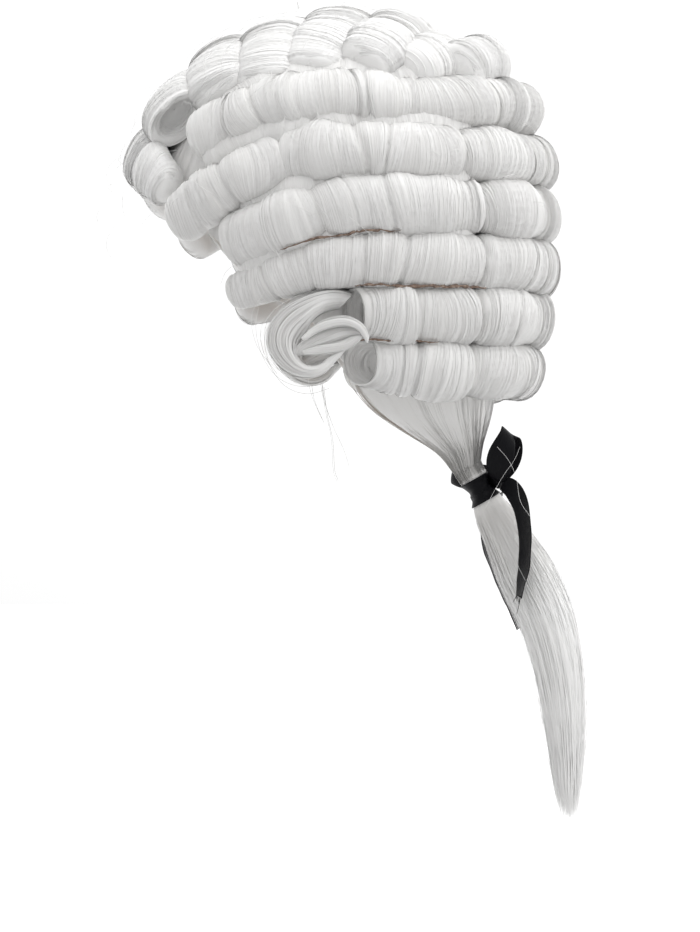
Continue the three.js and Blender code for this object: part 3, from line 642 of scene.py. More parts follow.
def strand_sides(points, normals, twist):
    """Directions across flat strands that lie on a surface, each turned by a twist."""
    run = unit(np.gradient(points, axis=1))
    side = unit(np.cross(run, normals))
    return side * np.cos(twist)[..., None] + np.cross(side, run) * np.sin(twist)[..., None]


def math_node(tree, operation, a, b=None):
    node = tree.nodes.new("ShaderNodeMath")
    node.operation = operation
    for socket, value in zip(node.inputs, (a, b)):
        if value is None:
            continue
        if isinstance(value, (int, float)):
            socket.default_value = value
        else:
            tree.links.new(value, socket)
    return node.outputs[0]


def new_material(name, roughness, sheen=0.0):
    material = bpy.data.materials.new(name)
    material.use_nodes = True
    tree = material.node_tree
    shader = tree.nodes["Principled BSDF"]
    shader.inputs["Roughness"].default_value = roughness
    shader.inputs["Sheen Weight"].default_value = sheen
    return material, tree, shader


def stretched_noise(tree, vector, scale, detail=2.0):
    """Noise over a vector scaled by x and y, so that its grain runs one way."""
    mapping = tree.nodes.new("ShaderNodeMapping")
    mapping.inputs["Scale"].default_value = (scale[0], scale[1], 1)
    tree.links.new(vector, mapping.inputs["Vector"])
    texture = tree.nodes.new("ShaderNodeTexNoise")
    texture.inputs["Scale"].default_value = 1
    texture.inputs["Detail"].default_value = detail
    tree.links.new(mapping.outputs[0], texture.inputs["Vector"])
    return texture.outputs["Fac"]


def strand_coordinates(tree):
    node = tree.nodes.new("ShaderNodeUVMap")
    node.uv_map = "strand"
    return node.outputs[0]


def add_bump(tree, shader, height, strength, distance):
    bump = tree.nodes.new("ShaderNodeBump")
    bump.inputs["Strength"].default_value = strength
    bump.inputs["Distance"].default_value = distance
    tree.links.new(height, bump.inputs["Height"])
    tree.links.new(bump.outputs[0], shader.inputs["Normal"])
    return bump


def ramp(tree, value, stops):
    node = tree.nodes.new("ShaderNodeValToRGB")
    elements = node.color_ramp.elements
    while len(elements) < len(stops):
        elements.new(0.5)
    for element, (position, colour) in zip(elements, stops):
        element.position = position
        element.color = (*colour, 1)
    tree.links.new(value, node.inputs[0])
    return node.outputs[0]


def hair_material():
    """White hair: strand grain along the locks, darker in the creases by painted shade that each piece
    gives in its tone.
    """
    material, tree, shader = new_material("white_hair", 0.46, 0.15)
    uv = strand_coordinates(tree)
    coarse = stretched_noise(tree, uv, (1.1, 0.03))
    fine = stretched_noise(tree, uv, (3.6, 0.06), 1)
    tone = tree.nodes.new("ShaderNodeAttribute")
    tone.attribute_name = "tone"
    grain = math_node(tree, "ADD", math_node(tree, "MULTIPLY", coarse, 0.5),
                      math_node(tree, "MULTIPLY", fine, 0.5))
    shade = math_node(tree, "ADD", tone.outputs["Fac"],
                      math_node(tree, "MULTIPLY", math_node(tree, "SUBTRACT", grain, 0.5), 0.08))
    shade = math_node(tree, "MULTIPLY", shade, 1 / 1.2)
    colour = ramp(tree, shade, (
        (0.42, (0.45, 0.43, 0.41)), (0.667, (0.7, 0.69, 0.675)), (0.792, (0.78, 0.774, 0.763)),
        (0.833, (0.82, 0.816, 0.806)), (0.92, (0.9, 0.897, 0.89))))
    tree.links.new(colour, shader.inputs["Base Color"])
    add_bump(tree, shader, grain, strength=0.25, distance=0.0005)
    return material


def net_material():
    """Beige cap net: a fine square mesh with thread colour that varies."""
    material, tree, shader = new_material("cap_net", 0.8)
    uv = strand_coordinates(tree)
    split = tree.nodes.new("ShaderNodeSeparateXYZ")
    tree.links.new(uv, split.inputs[0])
    waves = [
        math_node(tree, "ABSOLUTE", math_node(tree, "SINE", math_node(tree, "MULTIPLY", axis, 2.6)))
        for axis in split.outputs[:2]]
    mesh = math_node(tree, "MINIMUM", *waves)
    mottled = stretched_noise(tree, uv, (0.15, 0.15), 3)
    shade = math_node(tree, "ADD", math_node(tree, "MULTIPLY", mesh, -0.45),
                      math_node(tree, "ADD", math_node(tree, "MULTIPLY", mottled, 0.4), 0.45))
    colour = ramp(tree, shade, (
        (0.1, (0.3, 0.22, 0.16)), (0.5, (0.62, 0.5, 0.39)), (0.8, (0.78, 0.68, 0.57))))
    tree.links.new(colour, shader.inputs["Base Color"])
    add_bump(tree, shader, mesh, strength=0.5, distance=0.0004).invert = True
    return material


def weft_material():
    """Brown and tan stitching where the wefts are sewn down."""
    material, tree, shader = new_material("weft_thread", 0.7)
    uv = strand_coordinates(tree)
    mottled = stretched_noise(tree, uv, (0.5, 0.5), 3)
    colour = ramp(tree, mottled, (
        (0.3, (0.09, 0.06, 0.045)), (0.55, (0.22, 0.15, 0.115)), (0.75, (0.5, 0.4, 0.32))))
    tree.links.new(colour, shader.inputs["Base Color"])
    return material


def satin_material():
    """Black satin: fine warp threads that catch the light across the ribbon."""
    material, tree, shader = new_material("black_satin", 0.38)
    shader.inputs["Specular IOR Level"].default_value = 0.1
    shader.inputs["Anisotropic"].default_value = 0.5
    uv = strand_coordinates(tree)
    warp = stretched_noise(tree, uv, (9, 0.15), 1)
    weft = stretched_noise(tree, uv, (0.4, 7), 1)
    weave = math_node(tree, "ADD", math_node(tree, "MULTIPLY", warp, 0.6),
                      math_node(tree, "MULTIPLY", weft, 0.4))
    colour = ramp(tree, weave, ((0.35, (0.002, 0.002, 0.003)), (0.7, (0.009, 0.009, 0.011))))
    tree.links.new(colour, shader.inputs["Base Color"])
    add_bump(tree, shader, weave, strength=0.35, distance=0.0003)
    return material


HAIR = hair_material()
NET = net_material()
WEFT = weft_material()
SATIN = satin_material()


def dress(skin, node, material):
    piece = skin.make(node + "_dressed", material)
    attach(piece, "root")
    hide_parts(node)
    return piece


ROLL_ENDS = {
    "roll_1": ("butt", "round"), "roll_2_rear": ("butt", "butt"), "roll_2_front": ("butt", "round"),
    "roll_3": ("butt", "round"), "roll_4": ("butt", "round"), "roll_5": ("butt", "flared"),
    "roll_6": ("butt", "flared")}
CUT_BACK = {"roll_5": 9.0, "roll_6": 17.0}
# Spacing and depth of the creases where they differ
CREASING = {"roll_1": (13.0, 1.9), "roll_2_front": (16.0, 1.7)}

# Hair behind the valley above or below a roll: rows away from it
FILLS = {"roll_1": (-0.45, 0.5), "roll_3": (-0.5, 0.5)}
FILL_SWELL = 0.7
REAR_OF_TOP_FILL = ((46, 0, 0.9), (56, 0, 0.95))


def add_fill(skin, fill):
    fill.shell(skin)
    fill.strands(skin, int((fill.high - fill.low) * FILL_STRANDS_PER_MM))


def fill_valley(skin, node, row, sections, sign):
    """Plain hair behind the valley between two rows, so that no gap opens into the dark."""
    if row < 1:
        sections = REAR_OF_TOP_FILL + sections
    inner = [(azimuth, sink, FILL_SWELL * swell) for azimuth, sink, swell in sections[:-1]]
    add_fill(skin, Roll(f"{node}_fill_{row}", side_path(row, inner, sign), ("round", "round")))


def make_side_rolls():
    for side, sign in (("left", 1), ("right", -1)):
        for name, (row, sections) in SIDE_ROLLS.items():
            node = f"{side}_{name}"
            roll = Roll(node, side_path(row, sections, sign), ROLL_ENDS[name], CUT_BACK.get(name, 0),
                        *CREASING.get(name, (CREASE_SPACING, 1.9)),
                        leaning=LEANING if row else LEANING_TOP_ROW)
            skin = roll.build()
            for away in FILLS.get(name, ()):
                fill_valley(skin, node, row + away, sections, sign)
            dress(skin, node, HAIR)


def make_back_rolls():
    for row, reach, steps, depth in BACK_ROLLS:
        node = f"back_roll_{row + 1}"
        roll = Roll(node, back_path(row, reach, steps, depth), ("butt", "butt"), loose=SMOOTH_LOOSENESS)
        dress(roll.build(), node, HAIR)


def make_crown_rolls():
    for number, (reach, steps, depth) in enumerate(CROWN_ROLLS, 1):
        node = f"crown_roll_{number}"
        path = crown_path(CROWN_LEANS[number - 1], reach, steps, depth)
        ends = "wide" if number == 2 else "round"
        # Crown rolls take a lighter tone: painted light from above.
        roll = Roll(node, path, (ends, ends), corner=CROWN_CORNER, tone=CROWN_PAINTED_LIGHT,
                    fuller=FULLER_FRONT if number == 1 else CROWN_FULLER, loose=SMOOTH_LOOSENESS)
        dress(roll.build(), node, HAIR)
    # The roll behind and the crown fill take the same lighter tone, painted light.
    roll = Roll("crown_roll_back", back_crown_path(), ("butt", "butt"), fuller=CROWN_FULLER,
                tone=CROWN_PAINTED_LIGHT, loose=SMOOTH_LOOSENESS)
    skin = roll.build()
    add_fill(skin, Roll("crown_fill", crown_path(*CROWN_FILL), ("round", "round"), tone=CROWN_PAINTED_LIGHT))
    dress(skin, "crown_roll_back", HAIR)


def shell_rows(rings, azimuth, inset):
    """Levels down the head from near its top to the rim, for each azimuth."""
    below = rim_depth(azimuth) - inset - HEAD_HALVES[2]
    rim = np.where(
        below > 0,
        90 + np.degrees(np.arcsin(np.clip(below / NAPE_FALL, 0, 1))),
        np.degrees(np.arccos(np.clip(-below / HEAD_HALVES[2], -1, 1))))
    angle = np.radians(rim[None, :] * rings[:, None])
    level = HEAD_HALVES[2] * (np.cos(angle) - 1)
    return np.where(angle < math.pi / 2, level, -HEAD_HALVES[2] + NAPE_FALL * np.cos(angle))


def make_combed_hair():
    """Hair combed up from the rim under the rolls, with a soft uneven hairline."""
    rng = seeded("combed_hair")
    skin = Skin()
    azimuth = np.linspace(0, 360, 320, endpoint=False)
    rings = np.linspace(0.03, 1, 22)
    level = shell_rows(rings, azimuth, 0)
    girth = azimuth / 360 * 540
    locks = Locks(rng, 0, 540, 7, 0.8, periodic=True)
    fine, sway = noise(rng), noise(rng)
    strand = girth[None, :] + 5 * sway(girth / 31)[None, :] * np.sin(3 * rings[:, None] * math.pi)
    relief = locks.relief(strand) + 0.16 * fine(strand / 1.2)
    relief = relief * np.clip(rings * 2, 0, 1)[:, None]
    outer, _ = on_head(azimuth[None, :], level, COMBED_OUTSIDE + 0.3 + relief)
    inner, _ = on_head(azimuth[None, :], level, CAP_WALL + SEAT_GAP)
    lip, _ = on_head(azimuth[None, :], level[-1:] - 0.9, 0.55 * COMBED_OUTSIDE)
    sheet = np.concatenate([outer, lip, inner[::-1]])
    depth = np.concatenate([rings, [1.01], 1 + rings]) * 150
    uv = np.stack(np.broadcast_arrays(strand[0][None, :] + 0 * depth[:, None], depth[:, None]), -1)
    # Painted shade: darker in the creases between the locks.
    tone = np.concatenate([0.92 + 0.05 * np.clip(1 + relief, 0, 1), np.full((23, 320), 0.85)])
    skin.grid(sheet, uv, tone, wrap=True)
    return dress(skin, "combed_hair", HAIR)


def make_cap():
    """Net cap with a sewn band every few rows on its inside."""
    skin = Skin()
    azimuth = np.linspace(0, 360, 90, endpoint=False)
    rings = np.linspace(0.02, 1, 50)
    level = shell_rows(rings, azimuth, CAP_RIM_INSET)
    depth = np.cumsum(np.full(50, 3.45))
    band = np.clip(2 * np.cos(depth / 13 * 2 * math.pi) - 1.2, 0, 0.8)
    band[-4:] = 0.8
    outer, _ = on_head(azimuth[None, :], level, CAP_WALL)
    inner, _ = on_head(azimuth[None, :], level, 0.8 - band[:, None])
    sheet = np.concatenate([outer, inner[::-1]])
    both = np.concatenate([depth, depth[::-1]])
    uv = np.stack(np.broadcast_arrays(azimuth[None, :] * 1.45, both[:, None]), -1)
    skin.grid(sheet, uv, 1.0, wrap=True)
    return dress(skin, "cap", NET)


CORE_SHARE = 0.94


def lock_of_strands(skin, rng, centre, sideways, outward, halves, count):
    """A lock: a smooth core along a centre line and strands that run along it at its surface.

    Sideways and outward are the directions across each step, and halves their half sizes.
    """
    steps = len(centre)
    columns = 26
    phi = np.linspace(-math.pi, math.pi, columns, endpoint=False)
    ripple = noise(rng)
    grown = 1 - 0.1 * np.abs(ripple(phi * 4.1))[None, :]
    half_side, half_out = halves
    core = (centre[:, None]
            + sideways[:, None] * (half_side[:, None] * CORE_SHARE * grown * np.cos(phi))[..., None]
            + outward[:, None] * (half_out[:, None] * CORE_SHARE * grown * np.sin(phi))[..., None])
    length = run_length(centre)
    girth = phi / (2 * math.pi) * 2 * math.pi * float(half_side.max() + half_out.max()) / 2
    uv = np.stack(np.broadcast_arrays(girth[None, :], length[:, None]), -1)
    # Painted shade: the core is a little darker than the strands over it, and its end lids darker still.
    skin.grid(core, uv, 0.95, wrap=True)
    for row in (0, steps - 1):
        rim = core[row]
        lid = np.stack([rim, np.broadcast_to(centre[row], rim.shape)])
        skin.grid(lid, np.zeros((2, columns, 2)), 0.9, wrap=True)
    home = rng.uniform(-math.pi, math.pi, (count, 1))
    clumps = np.sort(rng.uniform(-math.pi, math.pi, 15))
    clump = clumps[np.argmin(np.abs(home - clumps), axis=1)][:, None]
    t = np.linspace(0, 1, steps)
    swirl = 0.5 * ripple(7 + 3 * t)[None, :]
    gathered = rng.uniform(0.1, 0.5) * np.sin(math.pi * t * rng.uniform(0.7, 1.3)) ** 2
    angle = home + (clump - home) * gathered + swirl + rng.normal(0, 0.12, (count, 1)) * t
    depth = 1 + 0.02 * np.cos((home - clump) * 7) + 0.03 * rng.random((count, 1))
    loose = rng.random((count, 1)) ** 12 * 0.5
    depth = depth + loose * np.sin(math.pi * t) ** 2
    points = (centre + sideways * (half_side * depth * np.cos(angle))[..., None]
              + outward * (half_out * depth * np.sin(angle))[..., None])
    normal = unit(sideways * np.cos(angle)[..., None] + outward * np.sin(angle)[..., None])
    width = rng.uniform(0.12, 0.26, (count, 1)) * np.clip(np.minimum(t, 1 - t) * 14, 0.15, 1)
    twist = rng.uniform(-0.2, 0.2, (count, 1))
    skin.strips(points, strand_sides(points, normal, twist) * width[..., None],
                rng.uniform(0.98, 1.02, count))


# Temple curl as seen from the side: turn about its middle, outer radius and half width
CURL_OUTLINE = (
    (46, 34, 5.5), (60, 30.5, 6.8), (75, 26.8, 8), (90, 23.9, 8.8), (112, 21.7, 9), (135, 20.7, 8.9),
    (180, 20.3, 8.2), (225, 18.6, 5.6), (270, 18.2, 3.2), (300, 18, 2.5), (323, 17.4, 2.1),
    (340, 18.8, 1.6), (350, 20.2, 1.1))
# Thin locks that cross its hollow: distance from the middle, half sizes, strands and places
CURL_LOCKS = (
    (101.5, 2.4, 2.4, 80, (
        (-14.4, -150.6), (-8.1, -145.8), (-1.8, -142.8), (7, -141.5), (13.9, -144), (17.4, -148.7),
        (18.1, -152.1))),
    (99.5, 2.7, 2.2, 60, (
        (-14.2, -157.1), (-4.3, -155.3), (5.7, -153.7), (12, -150.5), (15.8, -148.7))),
    (96.5, 5.4, 2.6, 80, ((-18, -157), (-8, -151.5), (2, -148), (10, -147), (16, -148))),
)


def make_temple_curl(side, sign):
    """Thick lock that turns in a flat curl, and thin ones that cross its hollow."""
    name = f"{side}_temple_curl"
    rng = seeded(name)
    skin = Skin()
    table = np.array(CURL_OUTLINE, float)
    degrees = np.linspace(table[0, 0], table[-1, 0], 56)
    outer, half = spline(table[:, 0], table[:, 1], degrees), spline(table[:, 0], table[:, 2], degrees)
    middle = FIRST_ROW_LEVEL - ROW_PITCH * 3.5 - SEAT_GAP - ROLL_GAP - CURL_OUTER - CURL_LOCK / 2
    turn, radius = np.radians(degrees), outer - half
    t = np.linspace(0, 1, len(degrees))
    breadth = 9.0 - 6.3 * t ** 1.5
    tucked = np.clip((85 - degrees) / 45, 0, 1) ** 2
    x = HEAD_HALVES[0] + ROLL_SEAT + CURL_WIDTH / 2 - 1 + 5 * t - 7 * tucked
    centre = np.stack([
        sign * x, CURL_BEHIND_MIDDLE + radius * np.cos(turn), middle + radius * np.sin(turn)], -1)
    radial = np.stack([0 * turn, np.cos(turn), np.sin(turn)], -1)
    outward = np.broadcast_to([sign * 1.0, 0, 0], centre.shape)
    lock_of_strands(skin, rng, centre, radial, outward, (half, breadth), 260)
    t = np.linspace(0, 1, 30)
    swell = np.sin(math.pi * np.clip(0.12 + 0.85 * t, 0, 1)) ** 0.7
    for aside, tall, thick, strands, places in CURL_LOCKS:
        back, level = np.array(places, float).T
        at = np.linspace(0, 1, len(places))
        centre = np.stack([np.full(30, sign * aside), spline(at, back, t), spline(at, level, t)], -1)
        run = unit(np.gradient(centre, axis=0))
        outward = np.broadcast_to([sign * 1.0, 0, 0], centre.shape)
        lock_of_strands(skin, rng, centre, unit(np.cross(run, outward)), outward,
                        (tall * swell, thick * swell), strands)
    return dress(skin, name, HAIR)


def flare(along):
    return WAIST_FLARE * np.minimum(1, (along / (BAND_WIDTH / 2)) ** 2)


def bundle(turn, along, lift):
    """Points round the tied bundle, `along` it from the tie, with turn 0 at its back."""
    along, turn, lift = np.broadcast_arrays(along, turn, lift)
    depth = WAIST_HALF_DEPTH + flare(along) + lift
    breadth = WAIST_HALF_BREADTH + flare(along) + lift
    points = TIE + BUNDLE_DOWN * along[..., None] + BUNDLE_OUT * (depth * np.cos(turn))[..., None]
    points[..., 0] += breadth * np.sin(turn)
    return points


# Turn of the nape hair's edges round the tied bundle
TIED_TURN = 168


def add_nape_sheet(skin, rng):
    turn = np.concatenate([[-1, -0.997], np.linspace(-0.99, 0.99, 122), [0.997, 1]])
    fall = np.concatenate([np.linspace(0, 1, 60), np.full(9, 1)])
    along = np.concatenate([np.full(60, -BAND_WIDTH), np.linspace(-BAND_WIDTH, -SEAT_GAP, 10)[1:]])
    table = np.array(NAPE_SECTIONS)
    gather = spline(table[:, 0], table[:, 1], fall)
    strand = turn[None, :] * 105 + 2.4 * noise(rng)(turn * 9)[None, :] * fall[:, None]
    locks = Locks(rng, -112, 112, 11, 0.3)
    fine = noise(rng)
    relief = (locks.relief(strand) + 0.2 * fine(strand / 1.1)) * (1 - 0.55 * fall[:, None])
    azimuth = NAPE_REACH * turn[None, :]
    layers = []
    edge = np.clip((np.abs(turn) - 0.86) / 0.14, 0, 1) ** 2
    inner_lift = CAP_WALL + SEAT_GAP + (COMBED_OUTSIDE - CAP_WALL - SEAT_GAP - 0.3) * edge
    for lift, rough in ((COMBED_OUTSIDE, 1), (inner_lift[None, :], 0)):
        hung, _ = on_head(azimuth, -rim_depth(azimuth), lift + rough * (0.4 + relief))
        hung = np.broadcast_to(hung, (*strand.shape, 3)) - [0, 0, 2 * SEAT_GAP]
        inset = 0.4 + relief if rough else -4.0 + 3.8 * edge[None, :]
        tied = bundle(np.radians(TIED_TURN * turn)[None, :], along[:, None], inset)
        points = hung + (tied - hung) * gather[:, None, None]
        points[..., 2] = hung[..., 2] + (tied[..., 2] - hung[..., 2]) * fall[:, None]
        layers.append(np.where((along > -BAND_WIDTH)[:, None, None], tied, points))
    outer, inner = layers
    sheet = np.concatenate([outer, inner[:, ::-1]], 1)
    uv_x = np.concatenate([strand, strand[:, ::-1]], 1)
    uv = np.stack([uv_x, np.broadcast_to(fall[:, None] * 80, uv_x.shape)], -1)
    # Painted shade: the sheet is darker than the rolls, as in the shade under them, and darker in the
    # creases between its locks.
    tone = 0.84 + 0.05 * np.clip(1 + relief, 0, 1)
    tone = np.concatenate([tone, np.full_like(tone, 0.85)], 1)
    skin.grid(sheet, uv, tone, wrap=True)


def add_nape_strands(skin, rng, count=760, steps=20):
    table = np.array(NAPE_SECTIONS)
    at = rng.uniform(-1.01, 1.01, count)
    start = rng.uniform(0, 0.4, count)
    reach = np.where(rng.random(count) < 0.85, 1.25, rng.uniform(0.6, 1.0, count))
    way = start[:, None] + (reach - start)[:, None] * np.linspace(0, 1, steps)
    f = np.minimum(way, 1)
    g = spline(table[:, 0], table[:, 1], f)
    drift = at[:, None] + rng.uniform(-0.03, 0.03, (count, 1)) * np.sin(f * 5)
    azimuth = NAPE_REACH * drift
    rise = 0.4 + rng.random((count, 1)) * 0.2
    rise = rise * np.clip((1.2 - way) * 8, 0.3, 1)
    hung, _ = on_head(azimuth, -rim_depth(azimuth), COMBED_OUTSIDE + rise)
    along_tie = -BAND_WIDTH + BAND_WIDTH * np.clip((way - 1) / 0.25, 0, 0.7)
    tied = bundle(np.radians(TIED_TURN * drift), along_tie, rise)
    points = hung + (tied - hung) * g[..., None]
    points[..., 2] = hung[..., 2] + (tied[..., 2] - hung[..., 2]) * f
    outward = unit(points - np.array([0, 20, 0])) * [1, 1, 0]
    run = unit(np.gradient(points, axis=1))
    sideways = unit(np.cross(run, outward)) * rng.uniform(0.1, 0.2, (count, 1, 1))
    # Painted shade: the strands are as dark as the sheet under the rolls.
    skin.strips(points, sideways, rng.uniform(0.86, 0.9, count))


def make_nape_hair():
    """Hair combed from the rim round the neck into the tie."""
    rng = seeded("nape_hair")
    skin = Skin()
    add_nape_sheet(skin, rng)
    add_nape_strands(skin, rng)
    return dress(skin, "nape_hair", HAIR)


def queue_path():
    table = np.array(QUEUE_SECTIONS)
    falls = np.concatenate([[0, 0.035], table[:, 0]])
    start = [TIE, TIE + BUNDLE_DOWN * BAND_WIDTH / 2]
    centres = [[0, TIE[1] + QUEUE_DRIFT * d, TIE[2] - QUEUE_LENGTH * f] for f, d in table[:, :2]]
    points = np.concatenate([start, centres])
    depths = np.concatenate([[5.0, 7.4], QUEUE_HALF_DEPTH * table[:, 3]])
    breadths = np.concatenate([[8.0, 10.4], QUEUE_HALF_BREADTH * table[:, 2]])
    fall = np.linspace(0, 1, 240)
    fine = spline3(falls, points, fall)
    normals = np.broadcast_to([0.0, 1.0, 0.0], fine.shape)
    return Path(fine, normals, spline(falls, depths, fall), spline(falls, breadths, fall))


def queue_shade(s):
    """Darker tone where the bow shades the queue."""
    return -QUEUE_SHADE * np.clip(1 - (s - 12) / 60, 0, 1)


def add_queue_core(skin, rng, path):
    rows, columns = 80, 90
    end = path.length * 0.975
    s = np.linspace(0.3, end, rows)
    phi = np.linspace(-math.pi, math.pi, columns, endpoint=False)
    centre, run, out, along, depth, breadth = path.at(s)
    girth = phi / (2 * math.pi) * 100
    locks = Locks(rng, -50, 50, 12, 0.6, periodic=True)
    thin = Locks(rng, -50, 50, 4.1, 0.15, periodic=True)
    fine, sway = noise(rng), noise(rng)
    t = s / path.length
    strand = girth[None, :] + (6 * sway(t * 3.1))[:, None] * (0.4 + t[:, None])
    relief = locks.relief(strand) * (0.35 + t[:, None]) + thin.relief(strand) + 0.2 * fine(strand / 1.2)
    taper = 1 - 0.45 * np.clip((t - 0.7) / 0.28, 0, 1.1) ** 1.6
    taper[-3:] *= (0.8, 0.4, 0.02)
    a = depth * taper
    b = breadth * taper
    grown = 0.4 + relief * np.clip(t * 14, 0.35, 1)[:, None]
    points = (centre[:, None] + out[:, None] * ((a[:, None] + grown) * np.cos(phi))[..., None]
              + along[:, None] * ((b[:, None] + grown) * np.sin(phi))[..., None])
    uv = np.stack([strand, np.broadcast_to(s[:, None], strand.shape)], -1)
    # Painted light and shade: the queue is whiter than the rolls, its core a little darker than the
    # strands over it, and darker near the bow and in its creases.
    tone = 1.08 + queue_shade(s)[:, None] + 0.04 * np.clip(1 + relief / 2.0, 0, 1)
    skin.grid(points, uv, tone, wrap=True)


def add_queue_strands(skin, rng, path, count=1500, steps=24):
    at = rng.uniform(-math.pi, math.pi, count)
    depth_in = rng.uniform(0.0, 1.0, count) ** 0.45
    s0 = rng.uniform(0, 0.62, count) * path.length
    s1 = path.length * np.minimum(rng.uniform(0.8, 1.12, count), rng.uniform(1.0, 1.03, count))
    f = np.linspace(0, 1, steps)
    s = s0[:, None] + (s1 - s0)[:, None] * f
    centre, run, out, along, depth, breadth = path.at(s)
    tt = s / path.length
    phi = at[:, None] + rng.uniform(-0.25, 0.25, (count, 1)) * np.sin(3 * f)
    reach = 1 + (depth_in[:, None] - 1) * np.clip((tt - 0.55) * 2.6, 0, 1)
    rise = 0.4 + rng.random((count, 1)) * 0.5
    rise = rise + rng.random((count, 1)) ** 14 * 4 * np.sin(math.pi * f) ** 2
    rise = rise * np.clip((s - BAND_WIDTH * 0.4) / 12, 0, 1)
    x = (depth * reach + rise) * np.cos(phi)
    y = (breadth * reach + rise) * np.sin(phi)
    points = centre + out * x[..., None] + along * y[..., None]
    sideways = unit(out * -np.sin(phi)[..., None] + along * np.cos(phi)[..., None])
    width = rng.uniform(0.1, 0.24, (count, 1)) * np.clip((1 - f) * 5, 0.05, 1)
    # Painted light and shade: strands whiter than the rolls and darker near the bow.
    skin.strips(points, sideways * width[..., None],
                1.12 + queue_shade(s) + rng.uniform(-0.015, 0.015, (count, 1)))


def make_queue():
    """Loose hair below the tie, in soft locks that thin out to a feathered tip."""
    rng = seeded("queue")
    skin = Skin()
    path = queue_path()
    add_queue_core(skin, rng, path)
    add_queue_strands(skin, rng, path)
    return dress(skin, "queue", HAIR)


# Wefts seen between two rows: row above, azimuths and half height
WEFTS = ((3, 47, 84, 0.8), (2, 72, 103, 0.5), (4, 60, 83, 0.5))


def make_wefts():
    """Sewn edges of the wefts, seen as thin brown lines between two rows of rolls."""
    skin = Skin()
    rng = seeded("wefts")
    for sign in (1, -1):
        for row, first, last, size in WEFTS:
            azimuth = np.linspace(first, last, 150)
            table = np.array(SIDE_ROLLS[f"roll_{row + 1}"][1], float)
            sink = spline(table[:, 0], table[:, 1], azimuth) if row != 4 else 0 * azimuth
            wobble, height, depth = noise(rng), noise(rng), noise(rng)
            level = FIRST_ROW_LEVEL - ROW_PITCH * (row + 0.5 + sink)
            level = level + 0.6 * wobble(azimuth / 3.1) + 0.3 * wobble(40 + azimuth / 0.9)
            centre, normal = seated(sign * azimuth, level, WEFT_LIFT + 1.0 * depth(azimuth / 4))
            run = unit(np.gradient(centre, axis=0))
            up = np.cross(normal, run)
            tall = size * (1 + 0.6 * height(azimuth * 1.1)) * np.sin(
                np.linspace(0.05, math.pi - 0.05, 150)) ** 0.4
            turn = np.linspace(0, 2 * math.pi, 8, endpoint=False)
            points = (centre[:, None] + up[:, None] * (tall[:, None] * np.cos(turn))[..., None]
                      + normal[:, None] * (0.6 * np.sin(turn))[:, None])
            uv = np.stack(np.broadcast_arrays(azimuth[:, None] * 2, turn[None, :]), -1)
            skin.grid(points, uv, 1.0, wrap=True)
    piece = skin.make("weft_edges", WEFT)
    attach(piece, "root")
    return piece


def ribbon_sheet(skin, centres, across, width, crosswise, rng):
    """Ribbon as a thin closed strip: centres and across at each step, width in mm."""
    run = unit(np.gradient(centres, axis=0))
    across = unit(across - run * np.sum(across * run, -1, keepdims=True))
    face = np.cross(across, run)
    q = np.linspace(-1, 1, 15)
    cup = crosswise * (1 - q ** 2)
    ripple = noise(rng)
    length = run_length(centres)
    cup = cup + 0.5 * ripple(length / 9)[:, None] * np.cos(2.2 * q + ripple(length / 13)[:, None])
    middle = (centres[:, None] + across[:, None] * (q * width[:, None] / 2)[..., None]
              + face[:, None] * cup[..., None])
    edge = np.where(np.abs(q) > 0.93, 1.35, 1.0) * np.where(np.abs(q) > 0.99, 0.4, 1.0)
    half = (RIBBON_THICKNESS / 2 * edge)[None, :, None] * face[:, None]
    front, back = middle + half, middle - half
    loop = np.concatenate([front, back[:, ::-1]], 1)
    u = np.concatenate([q, q[::-1]]) * RIBBON_WIDTH / 2
    uv = np.stack(np.broadcast_arrays(u[None, :], length[:, None]), -1)
    rows, columns = loop.shape[:2]
    for row in (0, rows - 1):
        near = skin.count + row * columns + np.arange(len(q) - 1)
        far = skin.count + row * columns + columns - 1 - np.arange(len(q) - 1)
        lid = np.stack([near, near + 1, far - 1, far], -1)
        skin.faces.append(lid if row else lid[:, ::-1])
        skin.uvs.append(np.zeros((len(lid), 4, 2)))
    skin.grid(loop, uv, 1.0, wrap=True, flip=True)
    return length[-1]


def make_band():
    """Ribbon wound twice round the bundle."""
    skin = Skin()
    turn = np.linspace(-math.pi, math.pi, 96, endpoint=False)
    along = np.linspace(-BAND_WIDTH / 2, BAND_WIDTH / 2, 22)
    rng = seeded("band")
    fold = noise(rng)
    wrinkle = 0.28 * fold(along[:, None] / 2.3 + 1.1 * np.sin(turn + 0.6)[None, :])
    lap = 0.35 * (along[:, None] > 1.5 * np.sin(turn - 0.5)[None, :])
    outside = bundle(turn[None, :], along[:, None], SEAT_GAP + 0.75 + wrinkle + lap)
    inside = bundle(turn[None, :], along[:, None], SEAT_GAP + 0 * wrinkle)
    sheet = np.concatenate([outside, inside[::-1]])
    v = np.concatenate([along, along[::-1]])
    uv = np.stack(np.broadcast_arrays(v[:, None], (turn * 8)[None, :]), -1)
    skin.grid(sheet, uv, 1.0, wrap=True, ring=True, flip=True)
    piece = dress(skin, "ribbon_band", SATIN)
    return piece


BAND_OUTSIDE = WAIST_HALF_DEPTH + SEAT_GAP + 1
KNOT = TIE + BUNDLE_OUT * (BAND_OUTSIDE + SEAT_GAP + KNOT_DEPTH / 2)


